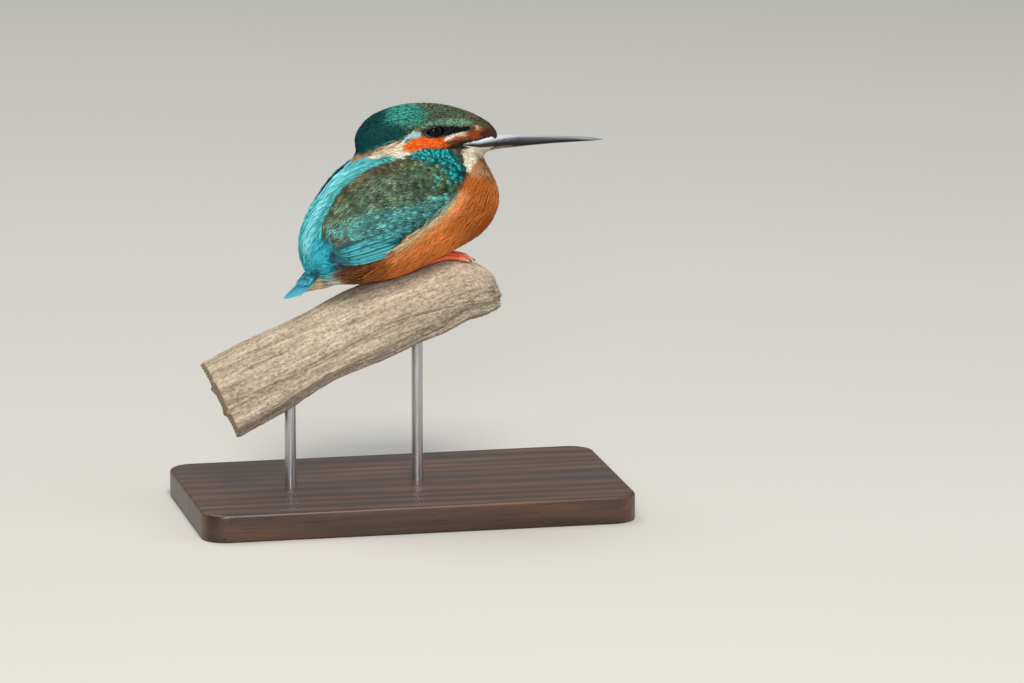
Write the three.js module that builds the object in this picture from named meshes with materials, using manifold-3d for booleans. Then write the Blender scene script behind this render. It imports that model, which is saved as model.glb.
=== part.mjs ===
// A common kingfisher at life size, hunched at rest on the broken end of a sloping driftwood branch.
// A short cut length of the branch is held over a flat base by two rods.
// Millimetres, +Z up. The bird faces +X, its right side is towards -Y, and the origin is the middle
// of the base's underside.
import * as THREE from "three";
import { mergeVertices } from "three/addons/utils/BufferGeometryUtils.js";
import Module from "manifold-3d";

const wasm = await Module();
wasm.setup();

// ---------------------------------------------------------------- driving dimensions
const GAP = 0.35; // clearance kept between neighbouring pieces
const CUT = 0.3; // width of the thin cuts that part the body

const BASE_LENGTH = 156;
const BASE_WIDTH = 84;
const BASE_HEIGHT = 10;
const BASE_CORNER = 9;
const BASE_BEVEL = 1.2;
const ROD_RADIUS = 2;
const ROD_SOCKET = 4; // depth of the rods' holes in the base
const ROD_REACH = 7; // depth of the rods' holes in the branch
const ROD_STATIONS = [-40, 6];

const EYE_RADIUS = 3.7;
const EYE_CENTRE = new THREE.Vector3(10.3, 9.2, 138.1);
const LID_RADII = [5.2, 4.75, 4.5]; // of the low mound that the lids make, along X, Y and Z
const LID_OPENING = [4, 2.1]; // half length and half height of the almond between the lids
const EYE_TURN = 0.16; // radians that each eye looks forward of sideways

const TAIL_TIP = new THREE.Vector3(-42, 0, 77.3);
const TAIL_FALL = THREE.MathUtils.degToRad(41); // below the horizontal
const TAIL_LENGTH = 22.5;
const VANE_THICKNESS = 0.6;

// Each rib is the ring of a loft: where it meets the upper outline (x, z), where it meets the lower
// outline (x, z), and its half width across the body.
const TORSO_RIBS = [
  [27, 129.5, 27, 129.5, 0],
  [22.5, 132.5, 31.5, 124, 9],
  [16.5, 134, 35.5, 116, 14],
  [8.5, 134.5, 35.5, 107.5, 17.5],
  [0, 133.5, 30, 99, 19.5],
  [-8, 130.7, 20.5, 93.5, 20.5],
  [-15.4, 127.3, 9, 88, 20.4],
  [-22.6, 122.1, -1, 84, 19.8],
  [-28.5, 114.9, -11, 82.5, 18.4],
  [-34, 107.5, -19.5, 82, 16],
  [-36.5, 99.5, -27, 83.5, 12],
  [-36.5, 93, -32, 86.5, 7],
  [-35.5, 89, -35.5, 89, 0],
];
const NECK_RIBS = [
  [-13, 137, 28, 135, 10],
  [-15.5, 131, 29.5, 130, 12.8],
  [-18.5, 126, 31, 125, 15],
  [-22, 121.5, 33, 120, 16.5],
];
const HEAD_RIBS = [
  [36.6, 132.2, 36.6, 132.2, 0],
  [34.3, 136.9, 34.3, 129.4, 3.6],
  [30, 140.6, 30, 127.4, 6.6],
  [24, 143.5, 23.5, 126.2, 9.8],
  [16.5, 145.7, 16, 125.6, 12.2],
  [9, 146.6, 9, 125.3, 13.5],
  [1.5, 146.3, 2, 125.3, 13.9],
  [-5.5, 144.6, -4.8, 125.6, 13],
  [-11.2, 141.5, -10.6, 126.6, 10.8],
  [-15, 137, -14.7, 129, 7.2],
  [-16.4, 132.4, -16.4, 132.4, 0],
];
const BILL_RIBS = [
  [24, 134.3, 24, 127.6, 4.1],
  [30, 134.4, 30, 128.3, 3.7],
  [36, 134, 36, 129, 3],
  [45, 133.4, 45, 129.6, 2.3],
  [55, 132.9, 55, 130.2, 1.7],
  [64, 132.3, 64, 130.4, 1.1],
  [70, 131.8, 70, 130.5, 0.6],
  [73.8, 130.9, 73.8, 130.9, 0],
];
const BRANCH_RIBS = [
  [-71, 55.6, -58.5, 28.5, 14.6],
  [-54.5, 63.4, -42.5, 37, 14],
  [-36, 71.2, -24.5, 47.2, 13.3],
  [-18, 80, -6, 54.6, 13],
  [-2, 84.4, 5.5, 59.6, 12.8],
  [9, 87.8, 15.2, 63.6, 12.6],
  [17.5, 90.1, 23.5, 67.6, 12],
  [24.6, 89, 29.8, 69, 10.6],
  [31.2, 85.4, 34, 71.4, 7.6],
  [35.8, 75.5, 35.8, 75.5, 0],
];

// ---------------------------------------------------------------- solids
/** A manifold-3d solid of a closed geometry, turned face out if need be. */
function solidOf(geometry) {
  const bare = geometry.index ? geometry.toNonIndexed() : geometry.clone();
  bare.deleteAttribute("normal");
  bare.deleteAttribute("uv");
  const merged = mergeVertices(bare, 1e-4);
  const corners = new Uint32Array(merged.index.array);
  const build = () =>
    new wasm.Manifold(
      new wasm.Mesh({
        numProp: 3,
        vertProperties: merged.attributes.position.array,
        triVerts: corners,
      }),
    );
  const made = build();
  if (made.volume() > 0) return made;
  for (let i = 0; i < corners.length; i += 3) {
    [corners[i + 1], corners[i + 2]] = [corners[i + 2], corners[i + 1]];
  }
  return build();
}

/** The geometry of a solid, with position alone. */
function geometryOf(solid) {
  const mesh = solid.getMesh();
  const places = new Float32Array(mesh.numVert * 3);
  for (let i = 0; i < mesh.numVert; i++) {
    const from = i * mesh.numProp;
    places.set(mesh.vertProperties.subarray(from, from + 3), i * 3);
  }
  return new THREE.BufferGeometry()
    .setAttribute("position", new THREE.BufferAttribute(places, 3))
    .setIndex(new THREE.BufferAttribute(new Uint32Array(mesh.triVerts), 1));
}

/** The solid moved outwards everywhere along its vertex normals. */
function grown(solid, distance = GAP) {
  const geometry = geometryOf(solid);
  geometry.computeVertexNormals();
  const { position, normal } = geometry.attributes;
  const place = new THREE.Vector3();
  const outward = new THREE.Vector3();
  for (let i = 0; i < position.count; i++) {
    outward.fromBufferAttribute(normal, i);
    place.fromBufferAttribute(position, i).addScaledVector(outward, distance);
    position.setXYZ(i, place.x, place.y, place.z);
  }
  geometry.deleteAttribute("normal");
  return solidOf(geometry);
}

/** The largest closed surface of a solid, without loose scraps. */
function largest(solid) {
  return solid
    .decompose()
    .reduce((best, piece) => (piece.volume() > best.volume() ? piece : best));
}

/** All solids of a list joined into one. */
const joined = (solids) => solids.reduce((sum, solid) => sum.add(solid));

/**
 * A closed surface through rings of as many points each, ended in one point at either side. A thin
 * one is split alike on both faces, so that they can't cross where it bends.
 */
function skinned(rings, first, last, thin = false) {
  const sides = rings[0].length;
  const places = [first, ...rings.flat(), last].flatMap((p) => [p.x, p.y, p.z]);
  const at = (ring, side) => 1 + ring * sides + (side % sides);
  const corners = [];
  for (let j = 0; j < sides; j++) {
    corners.push(0, at(0, j + 1), at(0, j));
    corners.push(1 + rings.length * sides, at(rings.length - 1, j), at(rings.length - 1, j + 1));
  }
  for (let i = 0; i + 1 < rings.length; i++) {
    for (let j = 0; j < sides; j++) {
      const [a, b, c, d] = [at(i, j), at(i, j + 1), at(i + 1, j + 1), at(i + 1, j)];
      if (thin && j >= sides / 2) corners.push(a, b, d, b, c, d);
      else corners.push(a, b, c, a, c, d);
    }
  }
  return new THREE.BufferGeometry()
    .setAttribute("position", new THREE.Float32BufferAttribute(places, 3))
    .setIndex(corners);
}

const middle = (points) =>
  points.reduce((sum, p) => sum.add(p), new THREE.Vector3()).divideScalar(points.length);

/** A smooth body through ribs, with a surface that other pieces can be laid on. */
class Loft {
  /** relief(t, angle) raises the surface, in mm. */
  constructor(ribs, relief = () => 0) {
    this.upper = new THREE.CatmullRomCurve3(ribs.map(([x, z, , , w]) => new THREE.Vector3(x, w, z)));
    this.lower = new THREE.CatmullRomCurve3(
      ribs.map(([, , x, z, w]) => new THREE.Vector3(x, w, z)),
    );
    this.relief = relief;
  }

  /** The plain surface at t along the loft, and at an angle round it from the upper outline. */
  bare(t, angle) {
    const a = this.upper.getPoint(t);
    const b = this.lower.getPoint(t);
    const across = ((a.y + b.y) / 2) * Math.sin(angle);
    const point = new THREE.Vector3().lerpVectors(b, a, (1 + Math.cos(angle)) / 2);
    return point.setY(across);
  }

  /** The outward normal there. */
  normal(t, angle) {
    const step = 0.004;
    const along = this.bare(Math.min(1, t + step), angle).sub(this.bare(Math.max(0, t - step), angle));
    const round = this.bare(t, angle + step).sub(this.bare(t, angle - step));
    const normal = new THREE.Vector3().crossVectors(round, along).normalize();
    const inside = this.bare(t, 0).add(this.bare(t, Math.PI)).multiplyScalar(0.5);
    return normal.dot(this.bare(t, angle).sub(inside)) < 0 ? normal.negate() : normal;
  }

  /** The surface moved out along its normal. */
  point(t, angle, offset = 0) {
    const out = offset + this.relief(t, angle);
    return this.bare(t, angle).addScaledVector(this.normal(t, angle), out);
  }

  /** The closed solid, in rings spread evenly over the ribs. An end with no width is a point. */
  solid(rings, sides) {
    const ends = [0, 1].map((t) => this.upper.getPoint(t).y < 1e-6);
    const start = ends[0] ? 0.35 / rings : 0;
    const stop = ends[1] ? 1 - 0.35 / rings : 1;
    const made = Array.from({ length: rings }, (_, i) => {
      const t = start + ((stop - start) * i) / (rings - 1);
      return Array.from({ length: sides }, (_, j) => this.point(t, (j / sides) * 2 * Math.PI));
    });
    const first = ends[0] ? this.bare(0, 0) : middle(made[0]);
    const last = ends[1] ? this.bare(1, 0) : middle(made[rings - 1]);
    return solidOf(skinned(made, first, last));
  }
}

/** A round bar from a to b. */
function bar(a, b, radius, sides = 16) {
  const geometry = new THREE.CylinderGeometry(radius, radius, a.distanceTo(b), sides);
  const up = new THREE.Vector3(0, 1, 0);
  const along = new THREE.Vector3().subVectors(b, a).normalize();
  geometry.applyQuaternion(new THREE.Quaternion().setFromUnitVectors(up, along));
  const centre = a.clone().add(b).multiplyScalar(0.5);
  return solidOf(geometry.translate(centre.x, centre.y, centre.z));
}

/** A ball, or an egg with a radius along each of X, Y and Z. */
function ball(centre, radii, detail = 14) {
  const [x, y, z] = Array.isArray(radii) ? radii : [radii, radii, radii];
  const geometry = new THREE.SphereGeometry(1, detail, detail / 2).rotateX(Math.PI / 2);
  return solidOf(geometry.scale(x, y, z).translate(centre.x, centre.y, centre.z));
}

/**
 * A feather's vane, from its root (k = 0) to its tip (k = 1), with a blunt, rounded end. place(k)
 * gives a point of its middle line and the outward normal there. roll lifts one edge over the next.
 */
function vane(place, width, roll = 0) {
  const outline = [
    [0, 0.6],
    [0.4, 0.95],
    [0.75, 1],
    [0.93, 0.66],
  ];
  const rings = outline.map(([k, share]) => {
    const { point, out } = place(k);
    const along = place(k + 0.02).point.sub(place(k - 0.02).point).normalize();
    const across = new THREE.Vector3().crossVectors(out, along).normalize();
    across.applyAxisAngle(along, roll);
    const up = new THREE.Vector3().crossVectors(along, across);
    const half = (width * share) / 2;
    const thick = (VANE_THICKNESS / 2) * (1 - 0.35 * k);
    return [
      [-half, -thick],
      [half, -thick],
      [half, thick],
      [-half, thick],
    ].map(([a, u]) => point.clone().addScaledVector(across, a).addScaledVector(up, u));
  });
  return solidOf(skinned(rings, middle(rings[0]), place(1).point, true));
}

// ---------------------------------------------------------------- branch and stand
/** Raised grain and shallow knots of the weathered wood. */
function woodRelief(t, angle) {
  const grain = 0.45 * Math.sin(5 * angle + 3 * t) + 0.25 * Math.sin(11 * angle - 4 * t);
  const knots = 0.35 * Math.sin(17 * t + 2 * angle) * Math.sin(7 * t);
  const fade = Math.min(1, (1 - t) / 0.08);
  const broken = 0.7 * Math.sin(3 * angle + 1) * Math.sin(40 * t) * Math.max(0, (t - 0.8) / 0.2);
  const cradle = Math.exp(-((Math.atan2(Math.sin(angle), Math.cos(angle)) / 0.7) ** 2));
  return (grain + knots + broken) * (1 - 0.8 * cradle) * fade;
}

const branchLoft = new Loft(BRANCH_RIBS, woodRelief);
const branchWhole = branchLoft.solid(20, 22);

/** The height at which a vertical line leaves the lower side of the branch. */
function undersideAt(x) {
  let best = Infinity;
  for (let t = 0.02; t < 0.98; t += 0.01) {
    const p = branchLoft.point(t, Math.PI);
    best = Math.abs(p.x - x) < Math.abs(best.x - x) || best === Infinity ? p : best;
  }
  return best.z;
}

function rod(x) {
  const foot = new THREE.Vector3(x, 0, BASE_HEIGHT - ROD_SOCKET + GAP);
  const head = new THREE.Vector3(x, 0, undersideAt(x) + ROD_REACH);
  return { foot, head, solid: bar(foot, head, ROD_RADIUS) };
}

const rods = ROD_STATIONS.map(rod);
const rodHoles = joined(
  rods.map(({ foot, head }) =>
    bar(
      foot.clone().add(new THREE.Vector3(0, 0, -GAP)),
      head.clone().add(new THREE.Vector3(0, 0, GAP)),
      ROD_RADIUS + GAP,
    ),
  ),
);

function baseSolid() {
  const x = BASE_LENGTH / 2 - BASE_BEVEL;
  const y = BASE_WIDTH / 2 - BASE_BEVEL;
  const r = BASE_CORNER;
  const outline = new THREE.Shape()
    .moveTo(-x + r, -y)
    .lineTo(x - r, -y)
    .absarc(x - r, -y + r, r, -Math.PI / 2, 0)
    .lineTo(x, y - r)
    .absarc(x - r, y - r, r, 0, Math.PI / 2)
    .lineTo(-x + r, y)
    .absarc(-x + r, y - r, r, Math.PI / 2, Math.PI)
    .lineTo(-x, -y + r)
    .absarc(-x + r, -y + r, r, Math.PI, 1.5 * Math.PI);
  const plate = new THREE.ExtrudeGeometry(outline, {
    depth: BASE_HEIGHT - 2 * BASE_BEVEL,
    bevelThickness: BASE_BEVEL,
    bevelSize: BASE_BEVEL,
    bevelSegments: 2,
    curveSegments: 4,
  });
  return solidOf(plate.translate(0, 0, BASE_BEVEL));
}

// ---------------------------------------------------------------- body
const torsoLoft = new Loft(TORSO_RIBS);
const headLoft = new Loft(HEAD_RIBS);
const torsoWhole = torsoLoft.solid(23, 28);
const neckWhole = new Loft(NECK_RIBS).solid(6, 26);
const headWhole = headLoft.solid(18, 26);
const billWhole = new Loft(BILL_RIBS).solid(13, 12);
const branchRoom = grown(branchWhole);

const MOUTH = [
  [18, 130.1],
  [74, 130.95],
];
const HEAD_CUT = [
  [-17, 131.2],
  [30, 127.6],
];
const NECK_CUT = [
  [-20, 124.5],
  [32, 121.5],
];

/** The part of a solid above (+1) or below (-1) a line in the XZ plane. */
function side(solid, [[ax, az], [bx, bz]], sign) {
  const normal = new THREE.Vector3(-(bz - az), 0, bx - ax).normalize().multiplyScalar(sign);
  const offset = normal.dot(new THREE.Vector3(ax, 0, az)) + CUT / 2;
  return solid.trimByPlane(normal.toArray(), offset);
}

// ---------------------------------------------------------------- eyes
/** Where an eye sits, and how it is turned. Side is -1 on the right and 1 on the left. */
function eyePlace(sideSign) {
  const centre = EYE_CENTRE.clone();
  centre.y *= sideSign;
  return centre;
}

function eyeball(sideSign) {
  return ball(eyePlace(sideSign), EYE_RADIUS);
}

/** The almond-shaped opening between the lids, as a prism that runs out sideways. */
function lidOpening(sideSign) {
  const [a, b] = LID_OPENING;
  const almond = new THREE.Shape()
    .moveTo(-a, -0.3)
    .quadraticCurveTo(-a * 0.4, b * 1.25, a * 0.35, b * 0.95)
    .quadraticCurveTo(a * 0.8, b * 0.7, a, 0.2)
    .quadraticCurveTo(a * 0.5, -b * 1.1, 0, -b)
    .quadraticCurveTo(-a * 0.7, -b * 0.95, -a, -0.3);
  const prism = new THREE.ExtrudeGeometry(almond, { depth: 12, bevelEnabled: false, curveSegments: 4 });
  prism.rotateX(Math.PI / 2).rotateZ(-EYE_TURN);
  if (sideSign > 0) prism.scale(1, -1, 1);
  const centre = eyePlace(sideSign);
  return solidOf(prism.translate(centre.x, centre.y, centre.z));
}

// ---------------------------------------------------------------- wings
// A wing is laid out on the torso's surface: u runs from the shoulder (0) to the wing tip (1), and v
// from its upper edge by the back (-1) to its lower edge over the flank (1).
const WING_FRONT = 0.235;
const WING_REAR = 0.79;
const WING_THICKNESS = 2;
const WING_RIM = [0.6, 0.95]; // thickness of the wing at its upper and lower rim
const WING_SINK = -1.2;
const wingUpper = new THREE.SplineCurve(
  [[0, 74], [0.12, 50], [0.3, 36], [0.55, 31], [0.75, 35], [0.9, 50], [1, 78]].map(
    (p) => new THREE.Vector2(...p),
  ),
);
const wingLower = new THREE.SplineCurve(
  [[0, 74], [0.1, 86], [0.3, 98], [0.55, 107], [0.75, 108], [0.9, 103], [1, 92]].map(
    (p) => new THREE.Vector2(...p),
  ),
);

/** The angle, in degrees, where an edge curve of the wing passes u. */
function edgeAngle(curve, u) {
  let low = 0;
  let high = 1;
  for (let i = 0; i < 20; i++) {
    const half = (low + high) / 2;
    if (curve.getPoint(half).x < u) low = half;
    else high = half;
  }
  return curve.getPoint(low).y;
}

/** Where u and v lie on the torso: t along its loft, and the angle round it for one side. */
function wingChart(sideSign, u, v) {
  const angle = THREE.MathUtils.lerp(edgeAngle(wingUpper, u), edgeAngle(wingLower, u), (v + 1) / 2);
  const t = THREE.MathUtils.lerp(WING_FRONT, WING_REAR, u);
  return [t, sideSign * THREE.MathUtils.degToRad(angle)];
}

/** How thick the wing is there, without its feathers. */
function wingDepth(u, v) {
  const along = Math.sin(Math.PI * Math.min(1, 0.12 + u * 0.85)) ** 0.4;
  const rim = THREE.MathUtils.lerp(WING_RIM[0], WING_RIM[1], (v + 1) / 2);
  return rim + WING_THICKNESS * along * Math.sqrt(Math.max(0, 1 - v * v)) * (1 - 0.35 * u);
}

function wingCore(sideSign) {
  const rows = 12;
  const columns = 6;
  const over = (u, v, offset) => torsoLoft.point(...wingChart(sideSign, u, v), offset);
  const rings = Array.from({ length: rows }, (_, i) => {
    const u = 0.02 + (0.9 * i) / (rows - 1);
    const outer = [];
    const inner = [];
    for (let j = 0; j <= columns; j++) {
      const v = -1 + (2 * j) / columns;
      outer.push(over(u, v, wingDepth(u, v)));
      inner.unshift(over(u, v, WING_SINK));
    }
    return [...outer, ...inner];
  });
  return solidOf(skinned(rings, over(0, 0, 0.2), over(0.94, 0, 0.2), true));
}

// The tiers of a wing's feathers, from the shoulder back: u of the roots, u of the tips, v of the
// first and last root, v of the first and last tip, how many, their width, and how far the tips
// stand above the wing.
const WING_TIERS = [
  { root: 0.06, tip: 0.25, from: [-0.7, 0.8], to: [-0.62, 0.8], count: 4, width: 5.6, lift: 0.6 },
  { root: 0.19, tip: 0.38, from: [-0.76, 0.84], to: [-0.74, 0.86], count: 6, width: 5, lift: 0.55 },
  { root: 0.32, tip: 0.53, from: [-0.8, 0.88], to: [-0.78, 0.9], count: 7, width: 5, lift: 0.55 },
  { root: 0.45, tip: 0.7, from: [-0.82, 0.9], to: [-0.82, 0.92], count: 7, width: 5, lift: 0.5 },
  { root: 0.58, tip: 0.88, from: [-0.82, 0.3], to: [-0.88, 0.45], count: 6, width: 4.4, lift: 0.45 },
  { root: 0.56, tip: 0.99, from: [0.45, 0.9], to: [0.3, 0.96], count: 4, width: 3.4, lift: 0.35 },
];
const VANE_ROOT_DEPTH = 0.75; // how far a root's middle lies under the wing's surface
const VANE_ROLL = 0.13; // radians

function wingVanes(sideSign) {
  const vanes = [];
  for (const { root, tip, from, to, count, width, lift } of WING_TIERS) {
    for (let i = 0; i < count; i++) {
      const share = count > 1 ? i / (count - 1) : 0.5;
      const reach = tip + 0.018 * Math.sin(7 * i + 11 * root);
      const startV = THREE.MathUtils.lerp(from[0], from[1], share);
      const endV = THREE.MathUtils.lerp(to[0], to[1], share);
      const place = (k) => {
        const u = THREE.MathUtils.lerp(root, reach, k);
        const v = THREE.MathUtils.lerp(startV, endV, k);
        const rise = THREE.MathUtils.lerp(-VANE_ROOT_DEPTH, lift, Math.min(1, 1.3 * k));
        const chart = wingChart(sideSign, u, v);
        const point = torsoLoft.point(...chart, wingDepth(u, v) + rise);
        return { point, out: torsoLoft.normal(...chart) };
      };
      vanes.push(vane(place, width * (1 - 0.25 * Math.abs(share - 0.5)), -sideSign * VANE_ROLL));
    }
  }
  return vanes;
}

// ---------------------------------------------------------------- tail
const tailAlong = new THREE.Vector3(-Math.cos(TAIL_FALL), 0, -Math.sin(TAIL_FALL));
const tailUp = new THREE.Vector3(-Math.sin(TAIL_FALL), 0, Math.cos(TAIL_FALL));
const tailRoot = TAIL_TIP.clone().addScaledVector(tailAlong, -TAIL_LENGTH);

/** A point of the tail: mm along it from its root, across it, and above its middle. */
function overTail(along, across, above) {
  const arch = -0.018 * across * across;
  return tailRoot
    .clone()
    .addScaledVector(tailAlong, along)
    .addScaledVector(tailUp, above + arch)
    .setY(across);
}

/** The flesh and the soft feathers under the tail: along it, half width, above and below. */
const TAIL_STATIONS = [
  [3, 6.2, 1.9, 9.6],
  [8, 6.8, 1.9, 8],
  [12, 6.8, 1.5, 5],
  [16, 6.2, 0.9, 2.3],
  [19.5, 4.8, 0.35, 0.9],
];

function tailCore() {
  const sides = 12;
  const rings = TAIL_STATIONS.map(([along, half, above, below]) =>
    Array.from({ length: sides }, (_, j) => {
      const a = (j / sides) * 2 * Math.PI;
      const height = Math.sin(a) > 0 ? above : below;
      return overTail(along, Math.cos(a) * half, Math.sin(a) * height);
    }),
  );
  return solidOf(skinned(rings, middle(rings[0]), overTail(21, 0, -0.2)));
}

// Tiers over the tail: along it of the roots and the tips, half the spread at both, how many, the
// width, how far the outer ones fall short, and the height of roots and tips over the middle.
const TAIL_TIERS = [
  { root: 5, tip: 22.4, spread: [4.4, 6.6], count: 10, width: 3.1, short: 5, rise: [0.9, 0] },
  { root: 4, tip: 17.2, spread: [4.4, 5.8], count: 5, width: 3.6, short: 2, rise: [1, 1.35] },
  { root: 3, tip: 13.4, spread: [4, 5], count: 4, width: 3.8, short: 1.2, rise: [1.2, 2.3] },
];

function tailVanes() {
  const vanes = [];
  for (const { root, tip, spread, count, width, short, rise } of TAIL_TIERS) {
    for (let i = 0; i < count; i++) {
      const share = (2 * i) / (count - 1) - 1;
      const reach = tip - short * Math.abs(share) ** 1.6;
      const place = (k) => {
        const along = THREE.MathUtils.lerp(root, reach, k);
        const across = share * THREE.MathUtils.lerp(spread[0], spread[1], k);
        const above = THREE.MathUtils.lerp(rise[0], rise[1], k) + 0.35 * (1 - Math.abs(share));
        return { point: overTail(along, across, above), out: tailUp };
      };
      vanes.push(vane(place, width, share < 0 ? VANE_ROLL : -VANE_ROLL));
    }
  }
  return vanes;
}

// ---------------------------------------------------------------- legs
const TOE_RADIUS = 0.98;
const STANCE = -0.1; // radians that both feet stand off the top of the branch, to the left
const ANKLE = [0.59, 0.3]; // along the branch, and round it from its top
// Toe tips on the branch and their thickness as a share: outer, middle, inner, hind.
const TOES = [
  [0.765, 0.46, 0.95],
  [0.795, 0.28, 1.05],
  [0.76, 0.12, 0.95],
  [0.53, 0.28, 0.95],
];

/** A point over the branch for the leg of one side, at an angle away from the middle. */
function overBranch(sideSign, t, angle, height) {
  return branchLoft.point(t, sideSign * angle - STANCE, GAP + height);
}

/** A toe from the ankle to its claw, laid over the branch. */
function toe(sideSign, [tipT, tipAngle, share]) {
  const sides = 7;
  const stations = 6;
  const centreAt = (k) => {
    const t = THREE.MathUtils.lerp(ANKLE[0], tipT, k);
    const angle = THREE.MathUtils.lerp(ANKLE[1], tipAngle, Math.min(1, k * 1.4));
    const claw = Math.max(0, (k - 0.75) / 0.25);
    const r = TOE_RADIUS * share * (1 - 0.6 * claw) * (1 + 0.08 * Math.cos(k * 18));
    return { r, point: overBranch(sideSign, t, angle, 0.1 + r * 1.02) };
  };
  const rings = Array.from({ length: stations }, (_, i) => {
    const k = 0.02 + (0.94 * i) / (stations - 1);
    const { r, point } = centreAt(k);
    const along = centreAt(k + 0.02).point.sub(centreAt(k - 0.02).point).normalize();
    const up = new THREE.Vector3(0, 0, 1).addScaledVector(along, -along.z).normalize();
    const across = new THREE.Vector3().crossVectors(up, along);
    return Array.from({ length: sides }, (_, j) => {
      const a = (j / sides) * 2 * Math.PI;
      return point
        .clone()
        .addScaledVector(across, Math.cos(a) * r)
        .addScaledVector(up, Math.sin(a) * r);
    });
  });
  const claw = overBranch(sideSign, tipT + 0.012 * Math.sign(tipT - ANKLE[0]), tipAngle, 0.15);
  return solidOf(skinned(rings, middle(rings[0]), claw));
}

function leg(sideSign) {
  const ankle = overBranch(sideSign, ANKLE[0], ANKLE[1], TOE_RADIUS * 1.1);
  const knee = ankle.clone().add(new THREE.Vector3(-5, sideSign * 1.4, 7));
  return joined([
    bar(ankle, knee, 1.25, 8),
    ball(ankle, TOE_RADIUS * 1.2, 8),
    ...TOES.map((toeSizes) => toe(sideSign, toeSizes)),
  ]);
}

// ---------------------------------------------------------------- the pieces, parted from each other
const legs = { right: leg(-1), left: leg(1) };
const legRoom = grown(joined([legs.right, legs.left]));
const upperBody = joined([headWhole, neckWhole, torsoWhole]).subtract(branchRoom);
const billRoom = grown(billWhole);
const eyeRoom = joined([-1, 1].map((s) => ball(eyePlace(s), EYE_RADIUS + GAP)));
const lids = joined([-1, 1].map((s) => ball(eyePlace(s), LID_RADII)));
const openings = joined([-1, 1].map(lidOpening));

const head = side(upperBody, HEAD_CUT, 1)
  .add(lids)
  .subtract(openings)
  .subtract(eyeRoom)
  .subtract(billRoom)
  .subtract(gape());
const neck = side(side(upperBody, HEAD_CUT, -1), NECK_CUT, 1).subtract(billRoom);
const torso = side(upperBody, NECK_CUT, -1).subtract(legRoom);
/** The line of the mouth behind the bill, cut shallowly into the face as far back as the gape. */
function gape() {
  const [[x, z]] = MOUTH;
  const reach = 20;
  const height = 0.45;
  const depth = 1.2;
  const cut = new THREE.BoxGeometry(reach, 60, height).translate(x + reach / 2 + 2, 0, z + 0.15);
  return solidOf(cut).subtract(grown(headWhole, -depth));
}

function nostril(sideSign) {
  const slit = new THREE.SphereGeometry(1, 8, 6).scale(1.5, 0.8, 0.42).rotateY(0.12);
  return solidOf(slit.translate(38.6, sideSign * 2.55, 132.6));
}

const billUpper = side(billWhole, MOUTH, 1).subtract(nostril(-1)).subtract(nostril(1));
const billLower = side(billWhole, MOUTH, -1);

const upperRoom = grown(joined([torsoWhole, neckWhole, headWhole]));

function wing(sideSign) {
  return joined([wingCore(sideSign), ...wingVanes(sideSign)]).subtract(upperRoom);
}
const wings = { right: wing(-1), left: wing(1) };
const wingRoom = joined([-1, 1].map((s) => grown(wingCore(s), GAP + VANE_THICKNESS)));
const tail = joined([tailCore(), ...tailVanes()]).subtract(upperRoom).subtract(wingRoom);

// ---------------------------------------------------------------- materials and nodes
const plumage = (color) => new THREE.MeshStandardMaterial({ color, roughness: 0.8, metalness: 0 });
const MATERIALS = {
  crown: plumage(0x1f6b66),
  neck: plumage(0xe8d6bd),
  breast: plumage(0xd2691e),
  wing: plumage(0x1c7f86),
  tail: plumage(0x22a7c9),
  bill: new THREE.MeshStandardMaterial({ color: 0x2a2724, roughness: 0.35, metalness: 0 }),
  eye: new THREE.MeshStandardMaterial({ color: 0x0b0908, roughness: 0.08, metalness: 0 }),
  leg: new THREE.MeshStandardMaterial({ color: 0xe2502a, roughness: 0.55, metalness: 0 }),
  driftwood: new THREE.MeshStandardMaterial({ color: 0xa3927c, roughness: 0.9, metalness: 0 }),
  base: new THREE.MeshStandardMaterial({ color: 0x4a3524, roughness: 0.45, metalness: 0 }),
  steel: new THREE.MeshStandardMaterial({ color: 0xb8babd, roughness: 0.3, metalness: 1 }),
};

const kingfisher = new THREE.Group();

function add(name, solid, material) {
  const mesh = new THREE.Mesh(geometryOf(largest(solid)), MATERIALS[material]);
  mesh.name = name;
  kingfisher.add(mesh);
}

add("head", head, "crown");
add("neck", neck, "neck");
add("torso", torso, "breast");
add("bill_upper", billUpper, "bill");
add("bill_lower", billLower, "bill");
add("eye_right", eyeball(-1), "eye");
add("eye_left", eyeball(1), "eye");
add("wing_right", wings.right, "wing");
add("wing_left", wings.left, "wing");
add("tail", tail, "tail");
add("leg_right", legs.right, "leg");
add("leg_left", legs.left, "leg");
add("perch_branch", branchWhole.subtract(rodHoles), "driftwood");
add("stand_base", baseSolid().subtract(rodHoles), "base");
rods.forEach(({ solid }, i) => add(`stand_rod_${i + 1}`, solid, "steel"));

export default kingfisher;
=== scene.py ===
"""A common kingfisher at life size, hunched on the broken end of a sloping driftwood branch.

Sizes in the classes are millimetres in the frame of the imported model: +Z up, the bird faces +X, and
its right side is towards -Y. Meshes are written in metres.
"""

import itertools
import logging
import math
from dataclasses import dataclass, field
from enum import Enum
from functools import partial
from typing import Callable, Iterable, Sequence

import bmesh
import bpy
import numpy as np
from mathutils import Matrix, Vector, kdtree
from mathutils.bvhtree import BVHTree


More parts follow.
